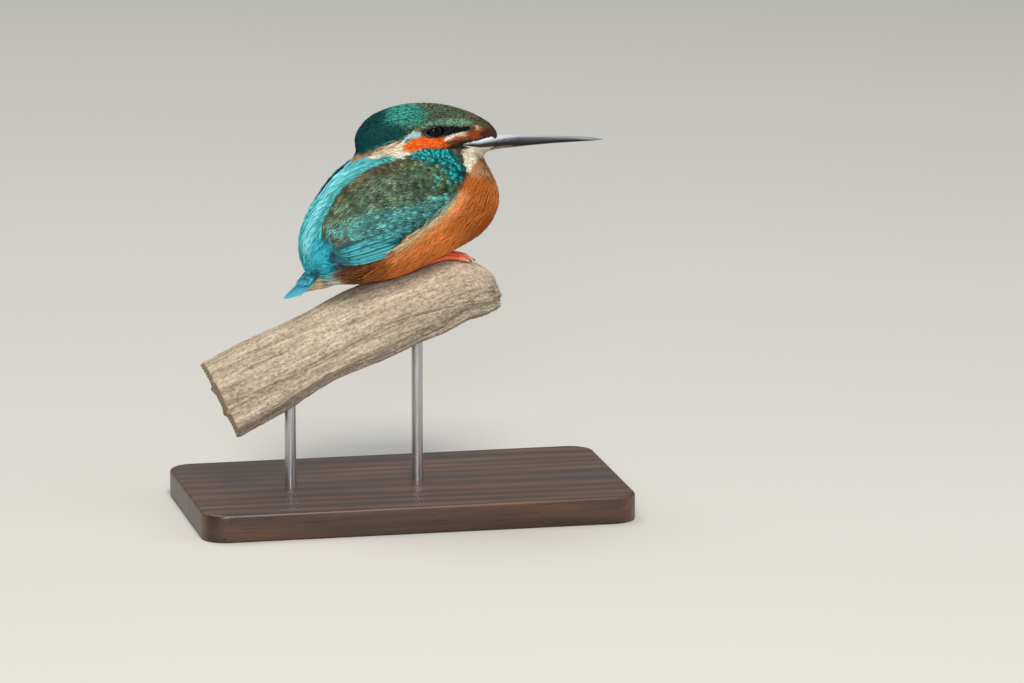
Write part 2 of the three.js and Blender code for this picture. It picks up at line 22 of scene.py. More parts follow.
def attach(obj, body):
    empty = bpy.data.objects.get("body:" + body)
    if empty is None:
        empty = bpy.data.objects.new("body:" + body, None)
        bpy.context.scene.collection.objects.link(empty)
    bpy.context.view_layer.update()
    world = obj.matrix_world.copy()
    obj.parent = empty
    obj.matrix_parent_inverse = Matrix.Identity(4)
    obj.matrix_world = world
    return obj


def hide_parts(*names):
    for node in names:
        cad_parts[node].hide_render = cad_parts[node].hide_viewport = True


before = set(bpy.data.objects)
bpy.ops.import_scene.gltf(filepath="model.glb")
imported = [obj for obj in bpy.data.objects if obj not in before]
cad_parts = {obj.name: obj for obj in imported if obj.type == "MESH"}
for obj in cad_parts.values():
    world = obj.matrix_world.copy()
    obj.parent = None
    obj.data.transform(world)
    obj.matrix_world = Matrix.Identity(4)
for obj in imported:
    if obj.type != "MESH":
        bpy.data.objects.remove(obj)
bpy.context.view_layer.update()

LOG = logging.getLogger("kingfisher")
MM = 0.001
BODY = "root"
COAT_COLOUR = "coat_colour"
BAKE_MAP = "OFBake"
BAKE_PATCH = 0.003
RIGHT, LEFT = -1, 1
SIDES = {RIGHT: "right", LEFT: "left"}

Array = np.ndarray
Draws = np.random.Generator
Material, Mesh, Socket = bpy.types.Material, bpy.types.Mesh, bpy.types.NodeSocket
Pair = tuple[float, float]
Triple = tuple[float, float, float]
Rule = Callable[[Array, Array], Array]


# ---- numbers and noise
def lerp(a: Array | float, b: Array | float, share: Array | float) -> Array | float:
    """Return the value a share of the way from a to b."""
    return a + (b - a) * share


def smooth_step(low: float, high: float, value: Array) -> Array:
    """Return 0 below low, 1 above high, and an eased value between."""
    share = np.clip((value - low) / (high - low), 0, 1)
    return share * share * (3 - 2 * share)


def unit(vectors: Array) -> Array:
    """Return vectors scaled to length one along their last axis."""
    return vectors / np.maximum(np.linalg.norm(vectors, axis=-1, keepdims=True), 1e-9)


def value_noise(points: Array, seed: int) -> Array:
    """Give smooth lattice noise.

    Args:
        points: An (n, 3) array, with a lattice cell every unit.
        seed: Chooses the pattern.

    Returns:
        An (n,) array of values from -1 to 1.
    """
    base = np.floor(points).astype(np.int64)
    part = points - base
    part = part * part * (3 - 2 * part)
    total = np.zeros(len(points))
    for corner in itertools.product((0, 1), repeat=3):
        cell = base + np.array(corner)
        mixed = cell[:, 0] * 73856093 ^ cell[:, 1] * 19349663 ^ cell[:, 2] * 83492791 ^ seed * 2654435
        mixed = (mixed ^ (mixed >> 13)) * 1274126177
        value = ((mixed ^ (mixed >> 16)) & 0xFFFF) / 32767.5 - 1
        weight = np.prod(np.where(np.array(corner), part, 1 - part), axis=1)
        total += value * weight
    return total


def layered_noise(points: Array, octaves: int, seed: int) -> Array:
    """Give several octaves of value noise.

    Args:
        points: An (n, 3) array.
        octaves: How many layers, each half as large and half as strong.
        seed: Chooses the pattern.

    Returns:
        An (n,) array of values of about -1 to 1.
    """
    total = np.zeros(len(points))
    for i in range(octaves):
        total += value_noise(points * 2.0**i, seed + i) * 0.5**i
    return total / (2 - 0.5 ** (octaves - 1))


# ---- colours
@dataclass(frozen=True)
class Tint:
    """A colour as a painter would read it off a chart, 0 to 255 for red, green and blue."""

    red: int
    green: int
    blue: int

    def linear(self) -> Array:
        """Return the colour as linear light."""
        share = np.array([self.red, self.green, self.blue]) / 255
        return np.where(share <= 0.04045, share / 12.92, ((share + 0.055) / 1.055) ** 2.4)

    def rgba(self) -> tuple[float, float, float, float]:
        """Return the colour as a shader socket takes it."""
        return (*self.linear().tolist(), 1.0)


class Slot(Enum):
    """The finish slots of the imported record."""

    CROWN = "crown_feathers"
    PALE = "pale_feathers"
    BREAST = "breast_feathers"
    WING = "wing_feathers"
    TAIL = "tail_feathers"
    BILL = "bill_horn"
    EYE = "eye"
    LEG = "leg_skin"
    DRIFTWOOD = "driftwood"
    STAND_WOOD = "stand_wood"
    STEEL = "stand_steel"


# ---- lofted bodies
def spans(points: Array, place: Array) -> tuple[list[Array], Array]:
    """Find the part of a line of knots that each place falls in.

    Args:
        points: The knots (k, d), with one more before the first and one after the last.
        place: Places (n,), one unit from knot to knot.

    Returns:
        The four knots (n, d) round each place, and its share (n, 1) between the middle two.
    """
    cell = np.minimum(place.astype(int), len(points) - 4)
    return [points[cell + i] for i in range(4)], (place - cell)[:, None]


def cubic_between(p: list[Array], slope_in: Array, slope_out: Array, share: Array) -> Array:
    """Follow a cubic from the second knot to the third.

    Args:
        p: Four knots (n, d) round each place.
        slope_in: The slope at the second knot.
        slope_out: The slope at the third.
        share: How far each place lies between them.

    Returns:
        Points (n, d) of the curve.
    """
    cubic = 2 * p[1] - 2 * p[2] + slope_in + slope_out
    square = -3 * p[1] + 3 * p[2] - 2 * slope_in - slope_out
    return ((cubic * share + square) * share + slope_in) * share + p[1]


@dataclass(frozen=True)
class Loft:
    """A smooth body through ribs of upper x and z, lower x and z, and half width."""

    ribs: Sequence[Sequence[float]]
    relief: Rule | None = None

    def outline(self, lower: bool, t: Array) -> Array:
        """Follow one of the loft's two outlines.

        Args:
            lower: The lower outline instead of the upper one.
            t: Places along the loft, 0 to 1.

        Returns:
            Points (n, 3), whose y is the half width.
        """
        rib = np.array(self.ribs, dtype=float)
        points = rib[:, [2, 4, 3]] if lower else rib[:, [0, 4, 1]]
        ends = (2 * points[0] - points[1], 2 * points[-1] - points[-2])
        points = np.vstack([ends[0], points, ends[1]])
        p, share = spans(points, np.clip(t, 0, 1) * (len(rib) - 1))
        steps = [np.sqrt(np.linalg.norm(p[i + 1] - p[i], axis=1))[:, None] for i in range(3)]
        steps[1] = np.where(steps[1] < 1e-4, 1, steps[1])
        steps[0] = np.where(steps[0] < 1e-4, steps[1], steps[0])
        steps[2] = np.where(steps[2] < 1e-4, steps[1], steps[2])
        slope_in = (p[1] - p[0]) / steps[0] - (p[2] - p[0]) / (steps[0] + steps[1])
        slope_in = (slope_in + (p[2] - p[1]) / steps[1]) * steps[1]
        slope_out = (p[2] - p[1]) / steps[1] - (p[3] - p[1]) / (steps[1] + steps[2])
        slope_out = (slope_out + (p[3] - p[2]) / steps[2]) * steps[1]
        return cubic_between(p, slope_in, slope_out, share)

    def bare(self, t: Array, angle: Array) -> Array:
        """Follow the plain surface.

        Args:
            t: Places along it, 0 to 1.
            angle: Angles round from the upper outline.

        Returns:
            Points (n, 3).
        """
        upper, lower = self.outline(False, t), self.outline(True, t)
        point = lower + (upper - lower) * ((1 + np.cos(angle)) / 2)[:, None]
        point[:, 1] = (upper[:, 1] + lower[:, 1]) / 2 * np.sin(angle)
        return point

    def normal(self, t: Array, angle: Array) -> Array:
        """Find the outward normals.

        Args:
            t: Places along it, 0 to 1.
            angle: Angles round it.

        Returns:
            Normals (n, 3).
        """
        step = 0.004
        along = self.bare(np.minimum(t + step, 1), angle) - self.bare(np.maximum(t - step, 0), angle)
        around = self.bare(t, angle + step) - self.bare(t, angle - step)
        normal = unit(np.cross(around, along))
        middle = (self.bare(t, angle * 0) + self.bare(t, angle * 0 + math.pi)) / 2
        inward = (normal * (self.bare(t, angle) - middle)).sum(axis=1) < 0
        return np.where(inward[:, None], -normal, normal)

    def point(self, t: Array, angle: Array, offset: Array | float = 0.0) -> Array:
        """Follow the surface with its relief.

        Args:
            t: Places along it, 0 to 1.
            angle: Angles round it.
            offset: How far off the surface, in mm.

        Returns:
            Points (n, 3).
        """
        out = np.zeros(len(t)) + offset
        if self.relief is not None:
            out = out + self.relief(t, angle)
        return self.bare(t, angle) + self.normal(t, angle) * out[:, None]


TORSO = Loft(
    [
        [27, 129.5, 27, 129.5, 0],
        [22.5, 132.5, 31.5, 124, 9],
        [16.5, 134, 35.5, 116, 14],
        [8.5, 134.5, 35.5, 107.5, 17.5],
        [0, 133.5, 30, 99, 19.5],
        [-8, 130.7, 20.5, 93.5, 20.5],
        [-15.4, 127.3, 9, 88, 20.4],
        [-22.6, 122.1, -1, 84, 19.8],
        [-28.5, 114.9, -11, 82.5, 18.4],
        [-34, 107.5, -19.5, 82, 16],
        [-36.5, 99.5, -27, 83.5, 12],
        [-36.5, 93, -32, 86.5, 7],
        [-35.5, 89, -35.5, 89, 0],
    ]
)


def smooth_curve(knots: Sequence[Pair]) -> tuple[Array, Array]:
    """Sample a uniform Catmull-Rom curve through knots that run forward in x.

    Args:
        knots: The points (x, y).

    Returns:
        Sorted x values and the y values there, for interpolation.
    """
    points = np.array(knots, dtype=float)
    points = np.vstack([points[0], points, points[-1]])
    p, share = spans(points, np.linspace(0, len(knots) - 1, 400))
    curve = cubic_between(p, (p[2] - p[0]) / 2, (p[3] - p[1]) / 2, share)
    return curve[:, 0], curve[:, 1]


@dataclass(frozen=True)
class WingChart:
    """The plan of a folded wing on the torso: u from shoulder to tip, v from upper to lower edge."""

    side: int
    front: float = 0.235
    rear: float = 0.79
    thickness: float = 2.0
    rims: Pair = (0.6, 0.95)
    upper: Sequence[Pair] = (
        (0, 74), (0.12, 50), (0.3, 36), (0.55, 31), (0.75, 35), (0.9, 50), (1, 78),
    )
    lower: Sequence[Pair] = (
        (0, 74), (0.1, 86), (0.3, 98), (0.55, 107), (0.75, 108), (0.9, 103), (1, 92),
    )

    def place(self, u: Array, v: Array) -> tuple[Array, Array]:
        """Find where a spot of the wing lies on the torso.

        Args:
            u: Shares along the wing.
            v: Shares down it.

        Returns:
            Places along the torso and the angles round it.
        """
        high = np.interp(u, *smooth_curve(self.upper))
        low = np.interp(u, *smooth_curve(self.lower))
        angle = np.radians(lerp(high, low, (v + 1) / 2))
        return lerp(self.front, self.rear, u), self.side * angle

    def depth(self, u: Array, v: Array) -> Array:
        """Tell how thick the wing is without its feathers.

        Args:
            u: Shares along the wing.
            v: Shares down it.

        Returns:
            Depths in mm.
        """
        along = np.sin(np.pi * np.clip(0.12 + u * 0.85, 0, 1)) ** 0.4
        rim = lerp(self.rims[0], self.rims[1], (v + 1) / 2)
        crown = np.sqrt(np.clip(1 - v * v, 0, None))
        return rim + self.thickness * along * crown * (1 - 0.35 * np.clip(u, 0, 1))

    def point(self, u: Array, v: Array, rise: Array | float = 0.0) -> Array:
        """Return points of the wing's surface, raised by some mm."""
        t, angle = self.place(u, v)
        return TORSO.point(t, angle, self.depth(u, v) + rise)

    def paths(self, spots: Sequence[tuple[Array, Array]]) -> tuple[Array, Array]:
        """Return the points and outward normals at the u and v of each feather's three stations."""
        points = np.stack([self.point(u, v) for u, v in spots], axis=1)
        return points, np.stack([TORSO.normal(*self.place(u, v)) for u, v in spots], axis=1)


@dataclass(frozen=True)
class TailPlan:
    """The tail's own axes: mm along it from its root, across it, and above its middle."""

    tip: Triple = (-42.0, 0.0, 77.3)
    fall: float = math.radians(41)
    length: float = 22.5
    arch: float = 0.018

    @property
    def along(self) -> Array:
        """Return the direction from root to tip."""
        return np.array([-math.cos(self.fall), 0, -math.sin(self.fall)])

    @property
    def up(self) -> Array:
        """Return the direction out of the upper side."""
        return np.array([-math.sin(self.fall), 0, math.cos(self.fall)])

    def point(self, along: Array, across: Array, above: Array) -> Array:
        """Find places of the tail.

        Args:
            along: Distances along it.
            across: Distances across it.
            above: Distances above it.

        Returns:
            Points (n, 3).
        """
        root = np.array(self.tip) - self.along * self.length
        height = above - self.arch * across * across
        made = root + np.outer(along, self.along) + np.outer(height, self.up)
        made[:, 1] = across
        return made


# ---- markings
@dataclass(frozen=True)
class MarkingPlan:
    """The flat plan that the markings are drawn on, the same for both sides of the bird."""

    unit: float = 0.354
    corner: Pair = (400.0, 177.13)
    level: float = 120.0
    right: Triple = (0.978, -0.208, 0.0)
    up: Triple = (0.043, 0.203, 0.978)
    ray: Triple = (0.2127, 1.0, -0.2169)
    aside: float = -40.0

    def place(self, points: Array) -> tuple[Array, Array]:
        """Lay body points out on the plan.

        Args:
            points: Places (n, 3) in mm.

        Returns:
            Plan units to the right of and below the plan's corner.
        """
        x, y, z = points[:, 0], -np.abs(points[:, 1]), points[:, 2] - self.level
        across = self.corner[0] + (self.right[0] * x + self.right[1] * y) / self.unit
        down = self.corner[1] - (self.up[2] * z + self.up[0] * x + self.up[1] * y) / self.unit
        return across, down

    def rays(self, across: Array, down: Array, side: int) -> tuple[Array, Array]:
        """Look from one side of the bird at places of the plan.

        Args:
            across: Plan units to the right.
            down: Plan units down.
            side: The side that they are seen from.

        Returns:
            The rays' starts (n, 3) and their common direction.
        """
        right, low = (across - self.corner[0]) * self.unit, (self.corner[1] - down) * self.unit
        x = (right - self.right[1] * self.aside) / self.right[0]
        z = self.level + (low - self.up[0] * x - self.up[1] * self.aside) / self.up[2]
        mirror = np.array([1, -side, 1])
        return np.stack([x, x * 0 + self.aside, z], axis=1) * mirror, np.array(self.ray) * mirror


class Pattern(Enum):
    """How a feather is marked from its root to its tip."""

    PLAIN = 1
    BARRED = 2
    EDGED = 3
    SPOTTED = 4
    STREAKED = 5
    FLECKED = 6
    TIPPED = 7
    SHAFTED = 8
    SOFT = 9
    WEBBED = 10


@dataclass(frozen=True)
class Cover:
    """The feathers of one kind of plumage, in mm."""

    piece: str
    slot: Slot
    spacing: float
    length: float
    width: float
    barbs: int
    sweep: float
    closed: float
    lift: float
    pattern: Pattern
    gloss: bool = False
    ragged: float = 0.12

    def vane(self, rng: Draws) -> "Vane":
        """Return a pattern of barbs for these feathers."""
        return Vane.cut(self.barbs, self.sweep, self.closed, self.ragged, self.width / self.length, rng)


class Plumage(Enum):
    """The kinds of plumage on the body."""

    BREAST = Cover(
        "breast_feathers", Slot.BREAST, 0.8, 4.8, 1.75, 11, 0.5, 0.52, 0.55, Pattern.SOFT, ragged=0.24
    )
    FLANK = Cover(
        "flank_feathers", Slot.BREAST, 1.0, 7.4, 2.1, 13, 0.46, 0.48, 0.7, Pattern.STREAKED, ragged=0.26
    )
    VENT = Cover(
        "vent_feathers", Slot.PALE, 1.0, 7.0, 2.3, 13, 0.46, 0.46, 0.8, Pattern.PLAIN, ragged=0.26
    )
    THROAT = Cover(
        "throat_feathers", Slot.PALE, 0.56, 3.0, 1.05, 7, 0.5, 0.55, 0.45, Pattern.PLAIN, ragged=0.25
    )
    PATCH = Cover(
        "neck_patch_feathers", Slot.PALE, 0.62, 4.4, 1.25, 9, 0.48, 0.55, 0.5, Pattern.PLAIN, ragged=0.25
    )
    EAR = Cover(
        "ear_feathers", Slot.BREAST, 0.5, 3.8, 0.95, 7, 0.48, 0.6, 0.42, Pattern.STREAKED, ragged=0.25
    )
    FACE = Cover(
        "face_feathers", Slot.CROWN, 0.35, 2.0, 0.66, 6, 0.5, 0.7, 0.2, Pattern.PLAIN, ragged=0.2
    )
    CROWN = Cover(
        "crown_feathers", Slot.CROWN, 0.6, 3.3, 1.1, 9, 0.42, 0.72, 0.34, Pattern.SHAFTED, ragged=0.2
    )
    NAPE = Cover(
        "nape_feathers", Slot.CROWN, 0.72, 3.9, 1.4, 11, 0.42, 0.7, 0.42, Pattern.BARRED, ragged=0.2
    )
    MALAR = Cover(
        "neck_side_feathers", Slot.CROWN, 1.0, 3.3, 2.0, 20, 0.4, 1.0, 0.6, Pattern.TIPPED, True, 0.2
    )
    BACK = Cover(
        "back_feathers", Slot.WING, 0.92, 7.6, 1.9, 15, 0.42, 0.6, 0.6, Pattern.STREAKED, True, 0.2
    )


@dataclass(frozen=True)
class Marking:
    """One patch of the markings: its outline on the plan, its colours and its plumage."""

    tint: Tint
    accent: Tint
    plumage: Plumage | None
    soft: float
    outline: Sequence[Pair]

    def weight(self, across: Array, down: Array) -> Array:
        """Give the patch's share at places of the plan.

        Args:
            across: Plan units to the right.
            down: Plan units down.

        Returns:
            1 well inside, 0 well outside, and eased over the soft edge.
        """
        corners = np.array(self.outline, dtype=float)
        best = np.full(len(across), 1e9)
        inside = np.zeros(len(across), dtype=bool)
        for (x0, y0), (x1, y1) in zip(corners, np.roll(corners, -1, axis=0)):
            ex, ey = x1 - x0, y1 - y0
            px, py = across - x0, down - y0
            share = np.clip((px * ex + py * ey) / (ex * ex + ey * ey), 0, 1)
            best = np.minimum(best, np.hypot(px - ex * share, py - ey * share))
            rises = (y0 > down) != (y1 > down)
            crossing = x0 + (down - y0) * ex / (ey if abs(ey) > 1e-9 else 1e-9)
            inside ^= rises & (across < crossing)
        signed = np.where(inside, best, -best)
        return smooth_step(-self.soft, self.soft, signed)


BREAST_TINT = Tint(172, 90, 34)
BREAST_ACCENT = Tint(194, 122, 64)
BODY_MARKINGS = (
    Marking(Tint(222, 124, 52), Tint(236, 164, 98), Plumage.BREAST, 12,
            ((392, 246), (432, 226), (462, 232), (456, 262), (392, 280))),
    Marking(Tint(150, 84, 36), Tint(190, 126, 74), Plumage.FLANK, 7,
            ((318, 256), (376, 250), (384, 268), (372, 300), (318, 300))),
    Marking(Tint(92, 54, 24), Tint(146, 102, 62), Plumage.FLANK, 4,
            ((322, 262), (345, 262), (368, 270), (362, 284), (346, 282), (336, 275), (322, 271))),
    Marking(Tint(220, 216, 196), Tint(240, 238, 226), Plumage.VENT, 2,
            ((300, 284), (320, 275), (334, 276), (346, 283.5), (342, 292), (296, 310))),
    Marking(Tint(226, 142, 80), Tint(240, 184, 132), Plumage.BREAST, 5,
            ((386, 258), (406, 243), (434, 222), (450, 206), (460, 192), (468, 198), (456, 216), (436, 232),
             (408, 254), (392, 264))),
    Marking(Tint(226, 210, 160), Tint(242, 232, 200), Plumage.FLANK, 2.2,
            ((386, 252), (404, 242), (433, 219), (446, 207), (456, 191), (460, 194), (450, 210),
             (436, 223.5), (407, 246), (391, 255))),
    Marking(Tint(104, 150, 134), Tint(170, 204, 186), Plumage.FLANK, 1.4,
            ((446, 190), (458, 189), (450.5, 202), (443.5, 210.5), (431, 220.5), (418, 231), (406, 236),
             (436, 206))),
    # Painted rim light: a paler, duller orange along the breast's front edge.
    Marking(Tint(180, 112, 68), Tint(208, 156, 114), Plumage.BREAST, 5,
            ((483, 156), (520, 150), (520, 225), (495, 222), (494, 190), (482, 170))),
    Marking(Tint(176, 128, 92), Tint(206, 172, 140), Plumage.THROAT, 3,
            ((468, 164), (480, 156), (500, 158), (493, 178), (470, 178))),
    Marking(Tint(30, 138, 142), Tint(92, 198, 200), Plumage.BACK, 3,
            ((410, 138), (345, 140), (290, 190), (270, 270), (322, 272), (330, 225), (350, 190), (372, 170),
             (412, 160))),
    Marking(Tint(24, 150, 172), Tint(80, 204, 218), Plumage.BACK, 8,
            ((316, 232), (345, 236), (330, 285), (296, 300), (290, 266), (312, 256))),
    Marking(Tint(82, 178, 188), Tint(146, 220, 226), Plumage.BACK, 2.2,
            ((384, 154), (372, 156.5), (355, 163.5), (343, 172), (334, 183), (326, 193.5), (317, 208),
             (308, 226), (304, 240), (304, 252), (312, 254), (314, 242), (317, 227), (325, 210),
             (332, 196.5), (340, 186), (348, 176.5), (358, 169), (372, 162.5), (386, 158))),
    Marking(Tint(168, 116, 74), Tint(206, 160, 120), Plumage.PATCH, 1.4,
            ((404, 140), (380, 148), (362, 154), (350, 160), (350, 164), (366, 158.5), (384, 153.5),
             (405, 148))),
    Marking(Tint(240, 224, 192), Tint(252, 246, 230), Plumage.PATCH, 1.5,
            ((405, 143), (391, 147.5), (378, 151.5), (368, 156), (372, 160), (388, 156), (400, 158.5),
             (413, 157.5), (407, 150))),
    Marking(Tint(0, 36, 38), Tint(2, 80, 77), Plumage.NAPE, 3,
            ((330, 80), (404, 80), (410, 112), (416, 132), (404, 141), (380, 148), (362, 154), (344, 163),
             (320, 170))),
    Marking(Tint(32, 48, 34), Tint(124, 140, 106), Plumage.CROWN, 7,
            ((398, 70), (520, 70), (520, 126), (498, 132), (476, 130), (450, 131), (430, 132), (415, 135),
             (408, 131), (402, 112))),
    Marking(Tint(24, 96, 84), Tint(78, 184, 164), Plumage.CROWN, 6,
            ((389, 104), (414, 103), (428, 115), (424, 125), (406, 127), (388, 123))),
    Marking(Tint(36, 36, 25), Tint(156, 150, 118), Plumage.CROWN, 6,
            ((468, 90), (520, 90), (520, 130), (498, 132), (474, 127), (466, 118))),
    Marking(Tint(68, 112, 94), Tint(150, 190, 164), Plumage.CROWN, 2,
            ((422, 128), (434, 121.5), (452, 119.5), (472, 121), (472, 124.6), (452, 126.2), (436, 126.6),
             (424, 131))),
    Marking(Tint(3, 8, 8), Tint(9, 26, 25), Plumage.FACE, 1.1,
            ((418, 134), (426, 129.6), (434, 126.8), (444, 126.6), (456, 127.4), (466, 127.4), (475, 128.8),
             (473, 130.8), (462, 133.8), (449, 137), (438, 139.4), (428, 138.4))),
    Marking(Tint(138, 58, 26), Tint(190, 100, 56), Plumage.FACE, 1.3,
            ((500, 130), (500, 135), (484, 137.4), (468, 139.6), (458, 142.4), (448, 147), (444, 142.5),
             (456, 139.5), (467, 135.6), (477, 131), (488, 127.5))),
    Marking(Tint(60, 26, 14), Tint(106, 56, 36), Plumage.FACE, 2,
            ((502, 128), (502, 138), (484, 138.5), (479, 135), (486, 128.5))),
    Marking(Tint(214, 164, 126), Tint(236, 204, 172), Plumage.FACE, 0.9,
            ((475, 126.8), (480, 126.4), (481, 129), (477, 130.4))),
    # Painted shadow: dark teal where the tail's root meets the vent.
    Marking(Tint(8, 74, 84), Tint(30, 124, 136), Plumage.VENT, 2.5,
            ((309, 276), (318, 268), (324, 270), (321, 280), (314, 288), (306, 288))),
    Marking(Tint(236, 224, 200), Tint(252, 246, 232), Plumage.FACE, 0.8,
            ((443, 140), (449, 136.8), (456, 134.6), (464, 133.4), (464, 135.2), (457, 137.4), (451, 139.8),
             (446, 142))),
    Marking(Tint(236, 90, 16), Tint(252, 150, 70), Plumage.EAR, 1.3,
            ((403, 146), (411.7, 140.5), (425, 138.2), (438, 139.4), (446, 142.4), (447, 147.5),
             (436, 149.8), (423, 149.5), (413, 153.5), (404, 151))),
    Marking(Tint(150, 194, 202), Tint(206, 232, 236), Plumage.FACE, 1.2,
            ((405, 138), (415, 132.6), (421, 133.6), (422, 137.6), (413, 140), (405, 140.4))),
    Marking(Tint(2, 66, 72), Tint(40, 192, 196), Plumage.MALAR, 1.4,
            ((409, 158), (414, 153.6), (421.7, 149.6), (435, 149.6), (452, 148.6), (458, 156), (463.5, 168),
             (464, 179), (456, 183), (447, 177), (445, 168), (435, 166), (421.7, 164), (408, 162))),
    Marking(Tint(26, 28, 24), Tint(64, 66, 58), Plumage.FACE, 1.0,
            ((436, 149.6), (448, 147), (458, 143), (468, 140), (484, 137.4), (496, 135.4), (496, 139),
             (480, 143.4), (476, 148.6), (462, 150.4), (448, 150.6))),
    Marking(Tint(54, 58, 36), Tint(112, 112, 78), Plumage.FACE, 1.4,
            ((455, 149.6), (463, 150), (464.5, 164), (469, 176), (464, 180), (460, 164))),
    Marking(Tint(228, 220, 198), Tint(250, 246, 232), Plumage.THROAT, 1.6,
            ((463, 151), (472, 149), (520, 143), (520, 151), (490, 156), (479, 159), (473, 165), (470, 173),
             (466, 172), (463, 161))),
)


WING_TINT = Tint(60, 84, 62)
WING_ACCENT = Tint(132, 156, 128)
WING_MARKINGS = (
    Marking(Tint(64, 72, 48), Tint(150, 140, 110), None, 6,
            ((330, 196), (372, 166), (412, 156), (420, 166), (372, 182), (338, 208))),
    Marking(Tint(62, 80, 56), Tint(76, 184, 176), None, 5,
            ((428, 178), (440, 166), (470, 156), (470, 200), (444, 206), (432, 202))),
    Marking(Tint(4, 72, 76), Tint(46, 182, 184), None, 2,
            ((408, 146), (470, 146), (470, 187), (458, 187), (449, 179), (446, 168), (434, 165.6),
             (420, 162), (408, 160))),
    Marking(Tint(44, 116, 114), Tint(126, 192, 186), None, 7,
            ((460, 196), (446, 212), (420, 232), (385, 250), (335, 252), (328, 232), (372, 214),
             (424, 204))),
    Marking(Tint(84, 140, 128), Tint(176, 212, 188), None, 3,
            ((462, 190), (452, 204), (440, 213), (420, 229), (402, 241), (396, 246), (408, 250),
             (470, 220))),
    Marking(Tint(18, 112, 124), Tint(84, 190, 196), None, 4,
            ((404, 234), (420, 230), (394, 258), (376, 274), (320, 272), (322, 254), (350, 250))),
    Marking(Tint(18, 116, 124), Tint(80, 190, 196), None, 2.5,
            ((300, 238), (331, 238), (336, 247), (344, 262), (300, 270))),
    Marking(Tint(72, 64, 54), Tint(124, 112, 98), None, 2.2,
            ((335, 238), (350, 241), (360, 245.4), (345, 247.6), (336, 245.4))),
)


def painted(points: Array, wing: bool = False) -> tuple[Array, Array]:
    """Give the plumage's colour and accent colour at places on the bird.

    Args:
        points: Places (n, 3) in mm.
        wing: Use the wing's markings instead of the body's.

    Returns:
        Two (n, 3) arrays of linear colour.
    """
    across, down = MarkingPlan().place(points)
    ragged = value_noise(points * 0.9, 5) * 0.9 + value_noise(points * 2.3, 6) * 0.6
    across, down = across + ragged, down + np.roll(ragged, 1)
    base, rim = (WING_TINT, WING_ACCENT) if wing else (BREAST_TINT, BREAST_ACCENT)
    tint = np.tile(base.linear(), (len(points), 1))
    accent = np.tile(rim.linear(), (len(points), 1))
    for marking in WING_MARKINGS if wing else BODY_MARKINGS:
        weight = marking.weight(across, down)[:, None]
        tint = lerp(tint, marking.tint.linear(), weight)
        accent = lerp(accent, marking.accent.linear(), weight)
    return tint, accent


def plumage_at(points: Array) -> list[Plumage]:
    """Tell the kind of plumage.

    Args:
        points: Places (n, 3) in mm.

    Returns:
        One kind for each place.
    """
    across, down = MarkingPlan().place(points)
    kinds = [Plumage.BREAST] * len(points)
    for marking in BODY_MARKINGS:
        for i in np.nonzero(marking.weight(across, down) > 0.5)[0]:
            kinds[i] = marking.plumage
    return kinds


